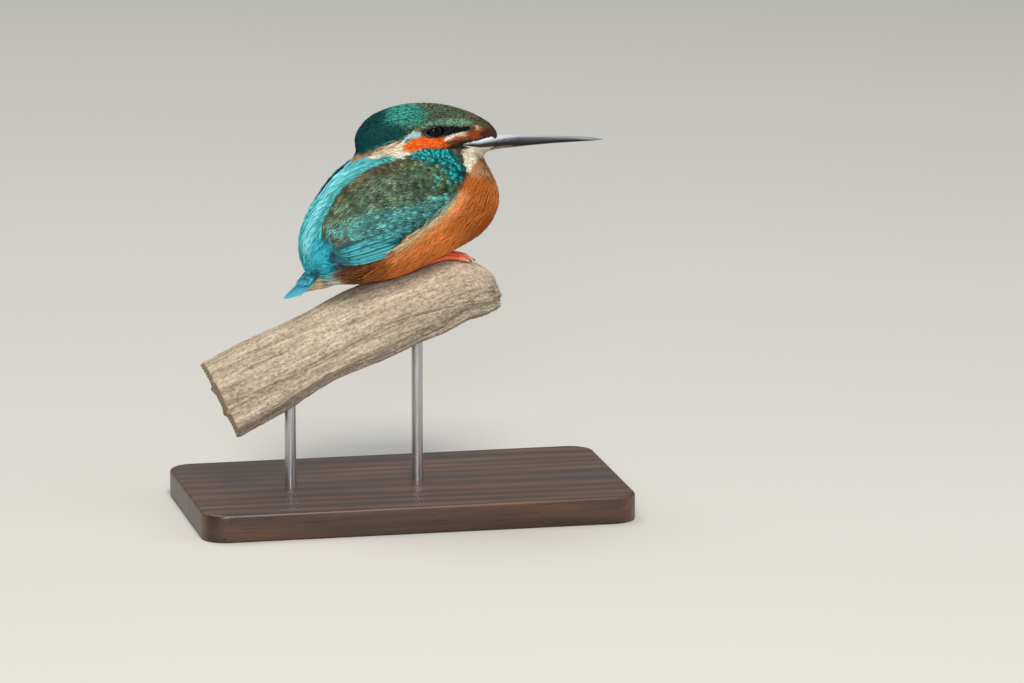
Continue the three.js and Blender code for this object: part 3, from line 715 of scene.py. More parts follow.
# ---- finishes
class Shader:
    """A node material under construction, around one Principled surface."""

    def __init__(self, name: str) -> None:
        """Start a material.

        Args:
            name: Its name.
        """
        self.material = bpy.data.materials.new(name)
        self.material.use_nodes = True
        self.tree = self.material.node_tree
        self.surface = self.tree.nodes["Principled BSDF"]

    def add(self, kind: str, settings: dict | None = None, **inputs: object) -> bpy.types.Node:
        """Add a node.

        Args:
            kind: The node's type without its "ShaderNode" prefix.
            settings: Properties of the node.
            **inputs: Socket values or sockets to link, by name with _ for a space, or i and a number.

        Returns:
            The node.
        """
        node = self.tree.nodes.new("ShaderNode" + kind)
        for key, value in (settings or {}).items():
            setattr(node, key, value)
        for key, value in inputs.items():
            numbered = key[0] == "i" and key[1:].isdigit()
            socket = node.inputs[int(key[1:])] if numbered else node.inputs[key.replace("_", " ")]
            self.feed(socket, value)
        return node

    def feed(self, socket: Socket, value: object) -> None:
        """Link a socket to another one, or set its value.

        Args:
            socket: The socket.
            value: A socket or a value.
        """
        if isinstance(value, Socket):
            self.tree.links.new(value, socket)
        else:
            socket.default_value = value

    def dress(self, **inputs: object) -> Material:
        """Set or link the surface's sockets.

        Args:
            **inputs: Values or sockets, by name with _ for a space.

        Returns:
            The material.
        """
        for key, value in inputs.items():
            self.feed(self.surface.inputs[key.replace("_", " ")], value)
        return self.material

    def place(self, scale: Sequence[float] = (1, 1, 1), turn: Sequence[float] = (0, 0, 0)) -> Socket:
        """Read Object coordinates, turned and then stretched.

        Args:
            scale: The stretch along x, y and z.
            turn: The turn in radians.

        Returns:
            The coordinates.
        """
        object_place = self.add("TexCoord").outputs["Object"]
        turned = self.add("Mapping", Vector=object_place, Rotation=turn).outputs[0]
        return self.add("Mapping", Vector=turned, Scale=scale).outputs[0]

    def noise(self, place: Socket, scale: float, detail: float = 4, rough: float = 0.5) -> Socket:
        """Return the value of a noise pattern."""
        node = self.add("TexNoise", Vector=place, Scale=scale, Detail=detail, Roughness=rough)
        return node.outputs["Fac"] if "Fac" in node.outputs else node.outputs[0]

    def ramp(self, value: Socket, *stops: tuple[float, "Tint | tuple"]) -> Socket:
        """Run a colour through stops.

        Args:
            value: What runs through them.
            *stops: Each a place with a tint, or with its red, green and blue.

        Returns:
            The colour.
        """
        node = self.add("ValToRGB", Fac=value)
        while len(node.color_ramp.elements) < len(stops):
            node.color_ramp.elements.new(0.5)
        for element, (place, colour) in zip(node.color_ramp.elements, stops):
            element.position = place
            element.color = colour.rgba() if isinstance(colour, Tint) else (*colour, 1)
        return node.outputs["Color"]

    def mix(self, blend: str, share: object, first: object, second: object) -> Socket:
        """Return two colours blended."""
        node = self.add("Mix", {"data_type": "RGBA", "blend_type": blend}, i0=share, i6=first, i7=second)
        return node.outputs[2]

    def times(self, colour: object, other: object, share: float = 1.0) -> Socket:
        """Return a colour multiplied by another, or a share of that."""
        return self.mix("MULTIPLY", share, colour, other)

    def maths(self, operation: str, *values: object) -> Socket:
        """Return what a Math node makes of two or three values."""
        inputs = {f"i{number}": value for number, value in enumerate(values)}
        return self.add("Math", {"operation": operation}, **inputs).outputs[0]

    def attribute(self, name: str = COAT_COLOUR) -> Socket:
        """Return a mesh's own colour, or another of its values."""
        outputs = self.add("Attribute", {"attribute_name": name}).outputs
        return outputs["Color" if name == COAT_COLOUR else "Fac"]

    def span(self, value: Socket, low: float, high: float) -> Socket:
        """Return a value of 0 to 1 spread from low to high."""
        return self.add("MapRange", Value=value, To_Min=low, To_Max=high).outputs[0]

    def bump(self, height: Socket, strength: float, distance: float) -> Socket:
        """Return a normal for a height pattern."""
        return self.add("Bump", Strength=strength, Distance=distance, Height=height).outputs[0]


@dataclass(frozen=True)
class Finish:
    """A named finish, whose material is made once."""

    name: str

    def material(self) -> Material:
        """Return the finish's material."""
        return bpy.data.materials.get(self.name) or self.dressed(Shader(self.name))

    def dressed(self, shader: Shader) -> Material:
        """Dress a new material in this finish.

        Args:
            shader: The new material's nodes.

        Returns:
            The material.
        """
        raise NotImplementedError


@dataclass(frozen=True)
class FeatherFinish(Finish):
    """Barbed feathers, coloured by their own attribute."""

    roughness: float = 0.66
    sheen: float = 0.06
    specular: float = 0.22
    mottle: float = 0.26
    barbed: float = 0.0

    def dressed(self, shader: Shader) -> Material:
        """Dress a new material in this finish.

        Args:
            shader: The new material's nodes.

        Returns:
            The material.
        """
        place = shader.place()
        fleck = shader.noise(place, 1500, 3)
        colour = shader.times(shader.attribute(), shader.span(fleck, 1 - self.mottle, 1 + self.mottle))
        colour = shader.times(colour, shader.span(shader.noise(place, 260, 2), 0.9, 1.1))
        height = shader.noise(place, 5200, 2)
        if self.barbed:
            line = shader.maths("SINE", shader.maths("MULTIPLY", shader.attribute("barb"), 2 * math.pi))
            shade = shader.add("MapRange", Value=line, From_Min=-1.0, To_Min=1 - self.barbed, To_Max=1.06)
            colour = shader.times(colour, shade.outputs[0])
            height = shader.maths("ADD", line, height)
        return shader.dress(
            Base_Color=colour,
            Roughness=shader.span(fleck, self.roughness - 0.1, self.roughness + 0.12),
            Sheen_Weight=self.sheen,
            Sheen_Roughness=0.4,
            Specular_IOR_Level=self.specular,
            Normal=shader.bump(height, 0.25, 0.0001),
        )


SOFT_FEATHER = FeatherFinish("soft_feather", 0.7, 0.0, 0.12)
GLOSSY_FEATHER = FeatherFinish("glossy_feather", 0.5, 0.02, 0.34, 0.2)
QUILL_FEATHER = FeatherFinish("quill_feather", 0.46, 0.02, 0.36, 0.12, 0.34)


@dataclass(frozen=True)
class SkinFinish(Finish):
    """The skin below the coat, in the coat's own markings darkened by painted shade."""

    name: str = "marked_skin"

    def dressed(self, shader: Shader) -> Material:
        """Dress a new material in this finish.

        Args:
            shader: The new material's nodes.

        Returns:
            The material.
        """
        grain = shader.noise(shader.place(), 900, 4)
        return shader.dress(
            Base_Color=shader.times(shader.attribute(), shader.span(grain, 0.6, 1.25)),
            Roughness=shader.span(grain, 0.65, 0.9),
            Normal=shader.bump(grain, 0.5, 0.0003),
        )


@dataclass(frozen=True)
class HornFinish(Finish):
    """Polished bill horn, coloured by its own attribute."""

    roughness: float = 0.34

    def dressed(self, shader: Shader) -> Material:
        """Dress a new material in this finish.

        Args:
            shader: The new material's nodes.

        Returns:
            The material.
        """
        grain = shader.noise(shader.place((60, 900, 900)), 2.2, 5)
        cloud = shader.noise(shader.place(), 160, 3)
        colour = shader.times(shader.attribute(), shader.span(grain, 0.72, 1.24))
        height = shader.maths("ADD", grain, shader.noise(shader.place(), 2600, 2))
        return shader.dress(
            Base_Color=shader.times(colour, shader.span(cloud, 0.85, 1.15)),
            Roughness=shader.span(grain, self.roughness - 0.08, self.roughness + 0.12),
            Specular_IOR_Level=0.3,
            Coat_Weight=0.06,
            Coat_Roughness=0.25,
            Normal=shader.bump(height, 0.25, 0.00008),
        )


@dataclass(frozen=True)
class EyeFinish(Finish):
    """A wet dark eye: its iris and pupil come from the gaze attribute."""

    name: str = "dark_eye"
    pupil: Tint = Tint(3, 3, 4)
    ring: Tint = Tint(20, 13, 9)
    iris: Tint = Tint(10, 9, 8)
    white: Tint = Tint(8, 7, 7)

    def dressed(self, shader: Shader) -> Material:
        """Dress a new material in this finish.

        Args:
            shader: The new material's nodes.

        Returns:
            The material.
        """
        stops = (0.0, self.pupil), (0.3, self.pupil), (0.34, self.ring), (0.62, self.iris), (0.7, self.white)
        colour = shader.ramp(shader.attribute("gaze"), *stops)
        rays = shader.noise(shader.place(), 2400, 3)
        return shader.dress(
            Base_Color=shader.times(colour, shader.span(rays, 0.7, 1.3)),
            Roughness=0.1,
            Specular_IOR_Level=0.1,
            Coat_Weight=0.06,
            Coat_Roughness=0.03,
        )


@dataclass(frozen=True)
class HideFinish(Finish):
    """Bare skin of lids or toes, coloured by its own attribute and finely creased."""

    roughness: float
    crease: float
    scale: float
    tissue: float = 0.0

    def dressed(self, shader: Shader) -> Material:
        """Dress a new material in this finish.

        Args:
            shader: The new material's nodes.

        Returns:
            The material.
        """
        place = shader.place()
        cells = shader.add("TexVoronoi", {"feature": "DISTANCE_TO_EDGE"}, Vector=place, Scale=self.scale)
        soft = shader.noise(place, 700, 4)
        seam = shader.add("MapRange", Value=cells.outputs["Distance"], From_Max=0.12, To_Min=0.72, To_Max=1.0)
        colour = shader.times(shader.attribute(), seam.outputs[0])
        return shader.dress(
            Base_Color=shader.times(colour, shader.span(soft, 0.8, 1.22)),
            Roughness=shader.span(soft, self.roughness - 0.08, self.roughness + 0.12),
            Subsurface_Weight=self.tissue,
            Subsurface_Radius=(0.0012, 0.0004, 0.0002),
            Normal=shader.bump(shader.maths("ADD", seam.outputs[0], soft), 0.5, self.crease),
        )


@dataclass(frozen=True)
class DriftwoodFinish(Finish):
    """Sun-bleached wood: long grain, fissures darkened by painted shade and ridges lightened by painted
    highlight.
    """

    name: str = "bleached_driftwood"
    slope: float = math.radians(22)

    def along(self, shader: Shader, scale: Triple) -> Socket:
        """Return coordinates that run along the branch."""
        return shader.place(scale, (0, self.slope, 0))

    def bleached(self, shader: Shader, fibres: Socket) -> Socket:
        """Colour the long grain, the warm streaks in it and the greyed patches.

        Args:
            shader: The new material's nodes.
            fibres: The grain's pattern.

        Returns:
            The colour.
        """
        streaks = shader.noise(self.along(shader, (22, 260, 260)), 1.2, 4, 0.55)
        patches = shader.noise(shader.place(), 60, 5, 0.6)
        wood = shader.ramp(
            fibres, (0.22, Tint(104, 96, 84)), (0.42, Tint(160, 149, 137)), (0.56, Tint(190, 179, 166)),
            (0.76, Tint(216, 207, 195)),
        )
        warm = shader.ramp(
            streaks, (0.3, Tint(148, 136, 122)), (0.55, Tint(190, 179, 165)), (0.8, Tint(204, 196, 184))
        )
        weathered = shader.ramp(patches, (0.34, Tint(204, 197, 186)), (0.62, Tint(255, 252, 247)))
        return shader.times(shader.mix("MIX", 0.45, wood, warm), weathered, 0.7)

    def painted_light(self, shader: Shader, colour: Socket) -> Socket:
        """Darken the cracks with painted shade, lighten the ridges with painted highlight, and add flakes.

        Args:
            shader: The new material's nodes.
            colour: The colour so far.

        Returns:
            The colour.
        """
        # Painted shade in the low relief of the cracks, painted highlight on the high relief of the ridges.
        relief = shader.attribute("relief")
        depth = shader.add("MapRange", Value=relief, From_Min=-1.0, From_Max=0.5).outputs[0]
        cracks = shader.ramp(
            depth, (0.0, Tint(58, 50, 38)), (0.2, Tint(150, 140, 124)), (0.5, Tint(240, 236, 230)),
            (1.0, (1.2, 1.19, 1.16)),
        )
        flakes = shader.noise(self.along(shader, (1, 1.6, 1.6)), 760, 6, 0.74)
        flaked = shader.ramp(
            flakes, (0.3, Tint(160, 151, 140)), (0.44, Tint(218, 213, 206)), (0.52, (1.0, 0.99, 0.975)),
            (0.66, (1.26, 1.25, 1.22)),
        )
        return shader.times(shader.times(colour, cracks), flaked, 0.9)

    def dressed(self, shader: Shader) -> Material:
        """Dress a new material in this finish.

        Args:
            shader: The new material's nodes.

        Returns:
            The material.
        """
        fibres = shader.noise(self.along(shader, (70, 620, 620)), 1.6, 7, 0.62)
        grit = shader.noise(shader.place(), 1900, 4, 0.7)
        colour = self.painted_light(shader, self.bleached(shader, fibres))
        colour = shader.times(colour, shader.span(grit, 0.72, 1.24))
        rings = shader.add("TexWave", {"wave_type": "BANDS"}, Scale=1.0, Distortion=0.0)
        shader.feed(rings.inputs["Vector"], shader.add("CombineXYZ", X=shader.attribute("ring")).outputs[0])
        cut = shader.ramp(rings.outputs["Fac"], (0.0, Tint(138, 120, 96)), (0.7, Tint(176, 158, 132)))
        cut = shader.times(cut, shader.span(grit, 0.7, 1.2))
        height = shader.maths("MULTIPLY_ADD", fibres, 1.4, grit)
        return shader.dress(
            Base_Color=shader.mix("MIX", shader.attribute("sawn"), colour, cut),
            Roughness=shader.span(grit, 0.78, 0.98),
            Specular_IOR_Level=0.25,
            Normal=shader.bump(height, 0.75, 0.00035),
        )


@dataclass(frozen=True)
class StandWoodFinish(Finish):
    """Oiled dark walnut with open grain."""

    name: str = "oiled_walnut"

    def dressed(self, shader: Shader) -> Material:
        """Dress a new material in this finish.

        Args:
            shader: The new material's nodes.

        Returns:
            The material.
        """
        figure = shader.noise(shader.place((9, 120, 120)), 1.3, 6, 0.6)
        wave = shader.add(
            "TexWave", {"wave_type": "BANDS", "bands_direction": "Y"}, Vector=shader.place((3, 26, 26)),
            Scale=1.4, Distortion=9.0, Detail=3.0, Detail_Scale=0.8,
        ).outputs["Fac"]
        pores = shader.noise(shader.place((60, 1500, 1500)), 1.0, 3, 0.6)
        wood = shader.ramp(
            figure, (0.25, Tint(40, 25, 16)), (0.5, Tint(74, 48, 31)), (0.75, Tint(104, 71, 46))
        )
        bands = shader.ramp(wave, (0.1, Tint(150, 132, 116)), (0.9, Tint(255, 250, 244)))
        pits = shader.ramp(pores, (0.3, Tint(96, 86, 78)), (0.42, (1, 1, 1)))
        return shader.dress(
            Base_Color=shader.times(shader.times(wood, bands, 0.8), pits),
            Roughness=shader.span(figure, 0.34, 0.52),
            Coat_Weight=0.2,
            Coat_Roughness=0.3,
            Normal=shader.bump(pores, 0.3, 0.0001),
        )


@dataclass(frozen=True)
class SteelFinish(Finish):
    """Brushed steel rod."""

    name: str = "brushed_steel"

    def dressed(self, shader: Shader) -> Material:
        """Dress a new material in this finish.

        Args:
            shader: The new material's nodes.

        Returns:
            The material.
        """
        scratch = shader.noise(shader.place((900, 900, 24)), 3.0, 4, 0.6)
        return shader.dress(
            Base_Color=shader.ramp(scratch, (0.3, Tint(150, 150, 152)), (0.7, Tint(206, 206, 208))),
            Metallic=1.0,
            Roughness=shader.span(scratch, 0.24, 0.42),
            Normal=shader.bump(scratch, 0.15, 0.00005),
        )


@dataclass(frozen=True)
class FloorFinish(Finish):
    """A plain pale floor."""

    name: str = "pale_floor"
    tint: Tint = Tint(182, 181, 177)

    def dressed(self, shader: Shader) -> Material:
        """Dress a new material in this finish.

        Args:
            shader: The new material's nodes.

        Returns:
            The material.
        """
        cloud = shader.noise(shader.place(), 3.0, 2)
        colour = shader.times(self.tint.rgba(), shader.span(cloud, 0.985, 1.015))
        return shader.dress(Base_Color=colour, Roughness=0.75, Specular_IOR_Level=0.2)


# ---- meshes
def finish_piece(
    mesh: Mesh, name: str, slot: Slot, material: Material, nodes: Iterable[str] = ()
) -> bpy.types.Object:
    """Put a finished mesh in the scene as a piece that rides on the model.

    Args:
        mesh: The mesh, in metres, in place.
        name: The piece's name.
        slot: Not used.
        material: What it is dressed in.
        nodes: The CAD nodes that it stands for.

    Returns:
        The piece.
    """
    piece = bpy.data.objects.new(name, mesh)
    bpy.context.scene.collection.objects.link(piece)
    mesh.name = name
    mesh.materials.clear()
    mesh.materials.append(material)
    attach(piece, BODY)
    if nodes:
        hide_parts(*nodes)
    LOG.info("%s: %d triangles", name, sum(len(p.vertices) - 2 for p in mesh.polygons))
    return piece


def solid_mesh(work: bmesh.types.BMesh, name: str) -> Mesh:
    """Shade a bmesh smooth, turn it into a mesh of this name and free it.

    Args:
        work: The bmesh.
        name: The mesh's name.

    Returns:
        The mesh.
    """
    for face in work.faces:
        face.smooth = True
    mesh = bpy.data.meshes.new(name)
    work.to_mesh(mesh)
    work.free()
    return mesh


def triangle_mesh(
    name: str, places: Array, triangles: Array, colours: Array, bake: Array | None = None
) -> Mesh:
    """Make a mesh of triangles from arrays.

    Args:
        name: The mesh's name.
        places: Points (n, 3) in mm.
        triangles: Corners (k, 3).
        colours: Linear colour (n, 3) at each point.
        bake: Places (n, 2) on the bake's map, if it has one.

    Returns:
        The mesh, smooth shaded.
    """
    mesh = bpy.data.meshes.new(name)
    mesh.vertices.add(len(places))
    mesh.vertices.foreach_set("co", (places * MM).astype(np.float32).ravel())
    mesh.loops.add(triangles.size)
    mesh.loops.foreach_set("vertex_index", triangles.astype(np.int32).ravel())
    mesh.polygons.add(len(triangles))
    mesh.polygons.foreach_set("loop_start", np.arange(0, triangles.size, 3, dtype=np.int32))
    mesh.polygons.foreach_set("use_smooth", np.ones(len(triangles), dtype=bool))
    attribute = mesh.color_attributes.new(name=COAT_COLOUR, type="FLOAT_COLOR", domain="POINT")
    rgba = np.concatenate([np.clip(colours, 0, 1), np.ones((len(colours), 1))], axis=1)
    attribute.data.foreach_set("color", rgba.astype(np.float32).ravel())
    if bake is not None:
        layer = mesh.uv_layers.new(name=BAKE_MAP)
        layer.data.foreach_set("uv", bake[triangles.ravel()].astype(np.float32).ravel())
    mesh.update()
    mesh.validate()
    return mesh


def swept(columns: int, rows: int, place: Rule, layers: dict[str, Rule] | None = None) -> Mesh:
    """Bend a grid into a surface, and close its seam and poles.

    Args:
        columns: Faces round or across it.
        rows: Faces along it.
        place: Gives points (n, 3) in mm from shares (n,) across and along.
        layers: Values to keep at each point, by name, from the same shares.

    Returns:
        The mesh in metres.
    """
    work = bmesh.new()
    bmesh.ops.create_grid(work, x_segments=columns, y_segments=rows, size=0.5)
    a = np.array([vert.co.x for vert in work.verts]) + 0.5
    b = np.array([vert.co.y for vert in work.verts]) + 0.5
    for name, value in (layers or {}).items():
        kept = value(a, b)
        kinds = work.verts.layers.float if kept.ndim == 1 else work.verts.layers.float_color
        layer = kinds.new(name)
        for vert, own in zip(work.verts, kept):
            vert[layer] = own if kept.ndim == 1 else (*own, 1.0)
    for vert, point in zip(work.verts, place(a, b) * MM):
        vert.co = point
    bmesh.ops.remove_doubles(work, verts=work.verts, dist=1e-7)
    bmesh.ops.recalc_face_normals(work, faces=work.faces)
    return solid_mesh(work, "swept")


def rounded(share: Array, cap: float) -> Array:
    """Return how wide a rod is at shares of its length, with round ends that take up the cap's share."""
    return np.sqrt(np.clip(1 - ((np.abs(share - 0.5) - (0.5 - cap)) / cap).clip(0, 1) ** 2, 0, 1))


def ringed(middle: Array, across: Array, up: Array, share: Array, radius: Array, flat: float = 1.0) -> Array:
    """Lay points round the middle line of a toe, claw or leg.

    Args:
        middle: The line's places (n, 3).
        across: Directions across it.
        up: Directions upwards from it.
        share: How far round it each point lies, 0 to 1.
        radius: How far off the line, across it.
        flat: The section's height over its width.

    Returns:
        The points (n, 3).
    """
    turn = share * 2 * np.pi
    return middle + across * (np.cos(turn) * radius)[:, None] + up * (np.sin(turn) * radius * flat)[:, None]


@dataclass
class Surface:
    """A skin that feathers are rooted on, in mm."""

    places: Array
    triangles: Array
    normals: Array = field(init=False)
    tree: BVHTree = field(init=False)

    def __post_init__(self) -> None:
        """Work out the normals and the search tree."""
        self.normals = self.smooth_normals(self.places)
        self.tree = BVHTree.FromPolygons(self.places.tolist(), self.triangles.tolist())

    def smooth_normals(self, places: Array) -> Array:
        """Work out the normals at points.

        Args:
            places: The points (n, 3).

        Returns:
            Normals (n, 3).
        """
        a, b, c = (places[self.triangles[:, i]] for i in range(3))
        flat = np.cross(b - a, c - a)
        total = np.zeros_like(places)
        for corner, axis in itertools.product(range(3), range(3)):
            total[:, axis] += np.bincount(self.triangles[:, corner], flat[:, axis], len(places))
        return unit(total)

    def nearest(self, points: Array) -> tuple[Array, Array]:
        """Find the nearest places of the skin.

        Args:
            points: Places (n, 3) in mm.

        Returns:
            Those places and the normals there.
        """
        found = [self.tree.find_nearest(point) for point in points.tolist()]
        places = np.array([hit[0] for hit in found])
        normals = self.normals[self.triangles[[hit[2] for hit in found]]].mean(axis=1)
        return places, unit(normals)

    def scatter(self, density: float, rng: Draws) -> tuple[Array, Array]:
        """Draw places on the skin.

        Args:
            density: How many to a square mm.
            rng: The source of the draws.

        Returns:
            Places and normals.
        """
        a, b, c = (self.places[self.triangles[:, i]] for i in range(3))
        areas = np.linalg.norm(np.cross(b - a, c - a), axis=1) / 2
        count = int(areas.sum() * density)
        chosen = rng.choice(len(areas), count, p=areas / areas.sum())
        r, s = np.sqrt(rng.random(count)), rng.random(count)
        weights = np.stack([1 - r, r * (1 - s), r * s], axis=1)[:, :, None]
        corners = self.triangles[chosen]
        places, normals = ((kept[corners] * weights).sum(axis=1) for kept in (self.places, self.normals))
        return places, unit(normals)

    def walk(self, starts: Array, normals: Array, lie: Array, lengths: Array) -> tuple[Array, Array]:
        """Lay paths over the skin.

        Args:
            starts: Roots (n, 3).
            normals: The skin's normals there.
            lie: Directions in which the paths set off.
            lengths: How long each path is.

        Returns:
            Three stations of each path, (n, 3, 3), and the normals there.
        """
        stations, outward = [starts], [normals]
        for _ in range(2):
            ahead = unit(lie - normals * (lie * normals).sum(axis=1)[:, None])
            place, normals = self.nearest(stations[-1] + ahead * lengths[:, None] / 2)
            stations.append(place)
            outward.append(normals)
            lie = ahead
        return np.stack(stations, axis=1), np.stack(outward, axis=1)


def thinned(points: Array, spacing: float) -> Array:
    """Pick points that keep a distance from each other.

    Args:
        points: Candidates (n, 3), in random order.
        spacing: The least distance between two.

    Returns:
        The indices of those picked.
    """
    cells: dict[tuple[int, int, int], list[Triple]] = {}
    around = list(itertools.product((-1, 0, 1), repeat=3))
    keys = np.floor(points / spacing).astype(int).tolist()
    picked = []
    least = spacing * spacing
    for index, ((i, j, k), (x, y, z)) in enumerate(zip(keys, points.tolist())):
        near = (spot for di, dj, dk in around for spot in cells.get((i + di, j + dj, k + dk), ()))
        if all((x - a) ** 2 + (y - b) ** 2 + (z - c) ** 2 >= least for a, b, c in near):
            cells.setdefault((i, j, k), []).append((x, y, z))
            picked.append(index)
    return np.array(picked, dtype=int)


# ---- feathers
@dataclass
class Vane:
    """A feather's pattern: a shaft with barbs, in shares of its width and length."""

    across: Array
    along: Array
    above: Array
    tone: Array
    triangles: Array
    barb: Array

    @classmethod
    def blade(
        cls, barbs: int, square: float, splits: int, rng: Draws, rows: int = 30, columns: int = 6
    ) -> "Vane":
        """Cut a closed feather, whose barbs cling together but for a few slits.

        Args:
            barbs: How many barbs on each side, for the fine lines of its finish.
            square: How square the end is, from 2 for round.
            splits: How many slits.
            rng: The source of its unevenness.
            rows: Faces along it.
            columns: Faces across it.

        Returns:
            The pattern.
        """
        line = 1 - (1 - np.linspace(0, 1, rows + 1)) ** 1.5
        x, y = (part.ravel() for part in np.meshgrid(np.linspace(-1, 1, columns + 1), line))
        swell = np.minimum(1, y / 0.2) ** 0.6
        end = np.sqrt(np.clip(1 - np.clip((y - 0.4) / 0.6, 0, 1) ** square, 0.002, 1))
        slits = np.zeros(len(x))
        for _ in range(splits):
            at, side = rng.uniform(0.25, 0.95), rng.choice((-1, 1))
            near = np.exp(-(((y - at - 0.06 * np.abs(x)) / 0.016) ** 2))
            slits += rng.uniform(0.3, 1.0) * near * np.clip(x * side, 0, 1) ** 2
        slits = np.minimum(slits, 1)
        shift = rng.uniform(0, 50, 3)
        # Painted shade darkens the slits.
        tone = 0.3 * value_noise(np.stack([x * 1.3, y * 9, y * 0], axis=1) + shift, 4) - 2 * slits
        first = (np.arange(rows)[:, None] * (columns + 1) + np.arange(columns)[None]).ravel()
        above = first + columns + 1
        halves = (first, first + 1, above + 1), (first, above + 1, above)
        faces = np.concatenate([np.stack(half, axis=1) for half in halves])
        height = 0.006 * (1 - np.abs(x)) - 0.006 * slits
        half = 0.5 * swell * end * (1 - 0.3 * slits)
        return cls(x * half, y, height, tone, faces, y * barbs - np.abs(x) * barbs * 0.1)

    @classmethod
    def cut(
        cls, barbs: int, sweep: float, closed: float, ragged: float, aspect: float, rng: Draws,
        square: float = 2.6, lively: float = 1.0,
    ) -> "Vane":
        """Cut a feather.

        Args:
            barbs: How many barbs on each side.
            sweep: How far each runs forward, as a share of the length.
            closed: The barbs' width as a share of what fills the vane.
            ragged: How uneven their tips are.
            aspect: The feather's width over its length.
            rng: The source of its unevenness.
            square: How square the end is, from 2 for round.
            lively: How much its barbs differ in tone and height.

        Returns:
            The pattern.
        """
        spots: list[tuple[float, float, float, float]] = []
        faces: list[tuple[int, int, int]] = []

        def half_width(y: float) -> float:
            """Return the vane's half width at y."""
            swell = min(1.0, y / 0.34) ** 0.6
            end = max(0.0, 1 - (max(0.0, y - 0.34) / 0.66) ** square) ** 0.5
            return 0.5 * swell * end

        for side, i in itertools.product((-1, 1), range(barbs)):
            share = (i + 0.5 + 0.42 * rng.uniform(-1, 1)) / barbs
            tip_y = lerp(0.3, 1.0, share) + ragged * 0.35 * rng.uniform(-1, 0.6)
            tip_x = side * half_width(min(tip_y, 0.985)) * (1 + ragged * rng.uniform(-1, 0.7))
            foot_y = max(0.02, tip_y - sweep * (1 - 0.3 * share))
            thick = closed * 0.74 / barbs / 2
            mid_x, mid_y = tip_x * 0.7, lerp(foot_y, tip_y, 0.45)
            run = np.array([tip_x * aspect, tip_y - foot_y])
            run = run / max(1e-6, float(np.linalg.norm(run)))
            lean_x, lean_y = -run[1] * side * thick / aspect, abs(run[0]) * thick + 0.3 * thick
            tone = lively * rng.uniform(-1, 1)
            lift = 0.014 * lively * rng.uniform(-1, 1)
            first = len(spots)
            spots += [
                (0.0, foot_y - thick, lift, tone - 0.4 * lively),
                (0.0, foot_y + thick, lift + 0.008, tone - 0.4 * lively),
                (mid_x - lean_x, mid_y - lean_y, lift - 0.004, tone),
                (mid_x + lean_x, mid_y + lean_y, lift + 0.014, tone),
                (tip_x, tip_y, lift, tone + 0.4 * lively),
            ]
            made = [(0, 2, 3), (0, 3, 1), (2, 4, 3)]
            faces += [tuple(first + k for k in (face if side > 0 else face[::-1])) for face in made]
        first = len(spots)
        rib = 0.028
        spots += [(-rib, 0, 0.0, 0.4), (rib, 0, 0.0, 0.4)]
        spots += [(-rib * 0.6, 0.6, 0.022, 0.4), (rib * 0.6, 0.6, 0.022, 0.4), (0, 0.97, 0.012, 0.4)]
        faces += [tuple(first + k for k in face) for face in ((0, 1, 3), (0, 3, 2), (2, 3, 4))]
        table = np.array(spots)
        return cls(table[:, 0], table[:, 1], table[:, 2], table[:, 3], np.array(faces), table[:, 0] * 0)


def pattern_colours(
    pattern: Pattern, vane: Vane, tint: Array, accent: Array, jitter: Array, side: float = 1
) -> Array:
    """Colour feathers from root to tip.

    Args:
        pattern: How they are marked.
        vane: Their pattern of barbs.
        tint: Colours (n, 3) of the feathers.
        accent: Colours (n, 3) of their bars, edges or spots.
        jitter: How much lighter each feather is.
        side: The side, 1 or -1, of the web that shows when feathers are folded.

    Returns:
        Colours (n, m, 3) at the pattern's points.
    """
    along, edge, tone = vane.along, np.abs(vane.across) * 2, vane.tone
    grow = 0.5 + 0.5 * smooth_step(0.1, 0.6, along)
    if pattern is Pattern.BARRED:
        share = smooth_step(0.5, 0.62, along) * (1 - smooth_step(0.82, 0.96, along)) * (0.6 + 0.3 * tone)
    elif pattern is Pattern.EDGED:
        share = 0.55 * smooth_step(0.45, 0.95, edge) + 0.55 * smooth_step(0.6, 1.0, along)
        share = share * smooth_step(0.35, 0.6, along) + 0.12 * tone
        grow = grow * (0.5 + 0.5 * smooth_step(0.3, 0.6, along))
    elif pattern is Pattern.WEBBED:
        shown = vane.across * 2 * side
        share = smooth_step(0.4, 0.95, shown) * (0.8 + 0.4 * tone) + 0.25 * smooth_step(0.9, 1.0, along)
        grow = 0.5 + 0.5 * smooth_step(0.2, 0.85, shown)
    elif pattern is Pattern.SPOTTED:
        share = np.exp(-(((along - 0.8) / 0.2) ** 2) - (edge / 0.75) ** 4) * 1.1
        grow = grow * 0.9
    elif pattern is Pattern.STREAKED:
        share = 0.4 * smooth_step(0.45, 1.0, along) + 0.28 * tone
    elif pattern is Pattern.FLECKED:
        share = 0.25 * smooth_step(0.55, 1.0, along)
        share = share + 0.75 * np.maximum(tone, 0) * smooth_step(0.3, 0.7, along)
        grow = grow * (0.62 + 0.38 * smooth_step(0.35, 0.75, along))
    elif pattern is Pattern.TIPPED:
        share = smooth_step(0.42, 0.62, along) * (1 - 0.75 * smooth_step(0.72, 1.0, edge)) + 0.1 * tone
        grow = grow * (0.35 + 0.65 * smooth_step(0.35, 0.6, along))
    elif pattern is Pattern.SHAFTED:
        share = (0.75 * np.exp(-((edge / 0.5) ** 2)) + 0.2 * tone) * smooth_step(0.35, 0.75, along)
        grow = grow * (0.7 + 0.3 * smooth_step(0.4, 0.8, along))
    elif pattern is Pattern.SOFT:
        share = 0.35 * smooth_step(0.5, 1.0, along) + 0.1 * tone
        grow = 0.3 + 0.7 * grow
    else:
        share = 0.3 * smooth_step(0.6, 1.0, along) + 0.16 * tone
    share = np.clip(share, 0, 1)[None, :, None]
    light = (grow * (1 + 0.13 * tone))[None, :, None] * (1 + jitter)[:, None, None]
    return lerp(tint[:, None, :], accent[:, None, :], share) * light


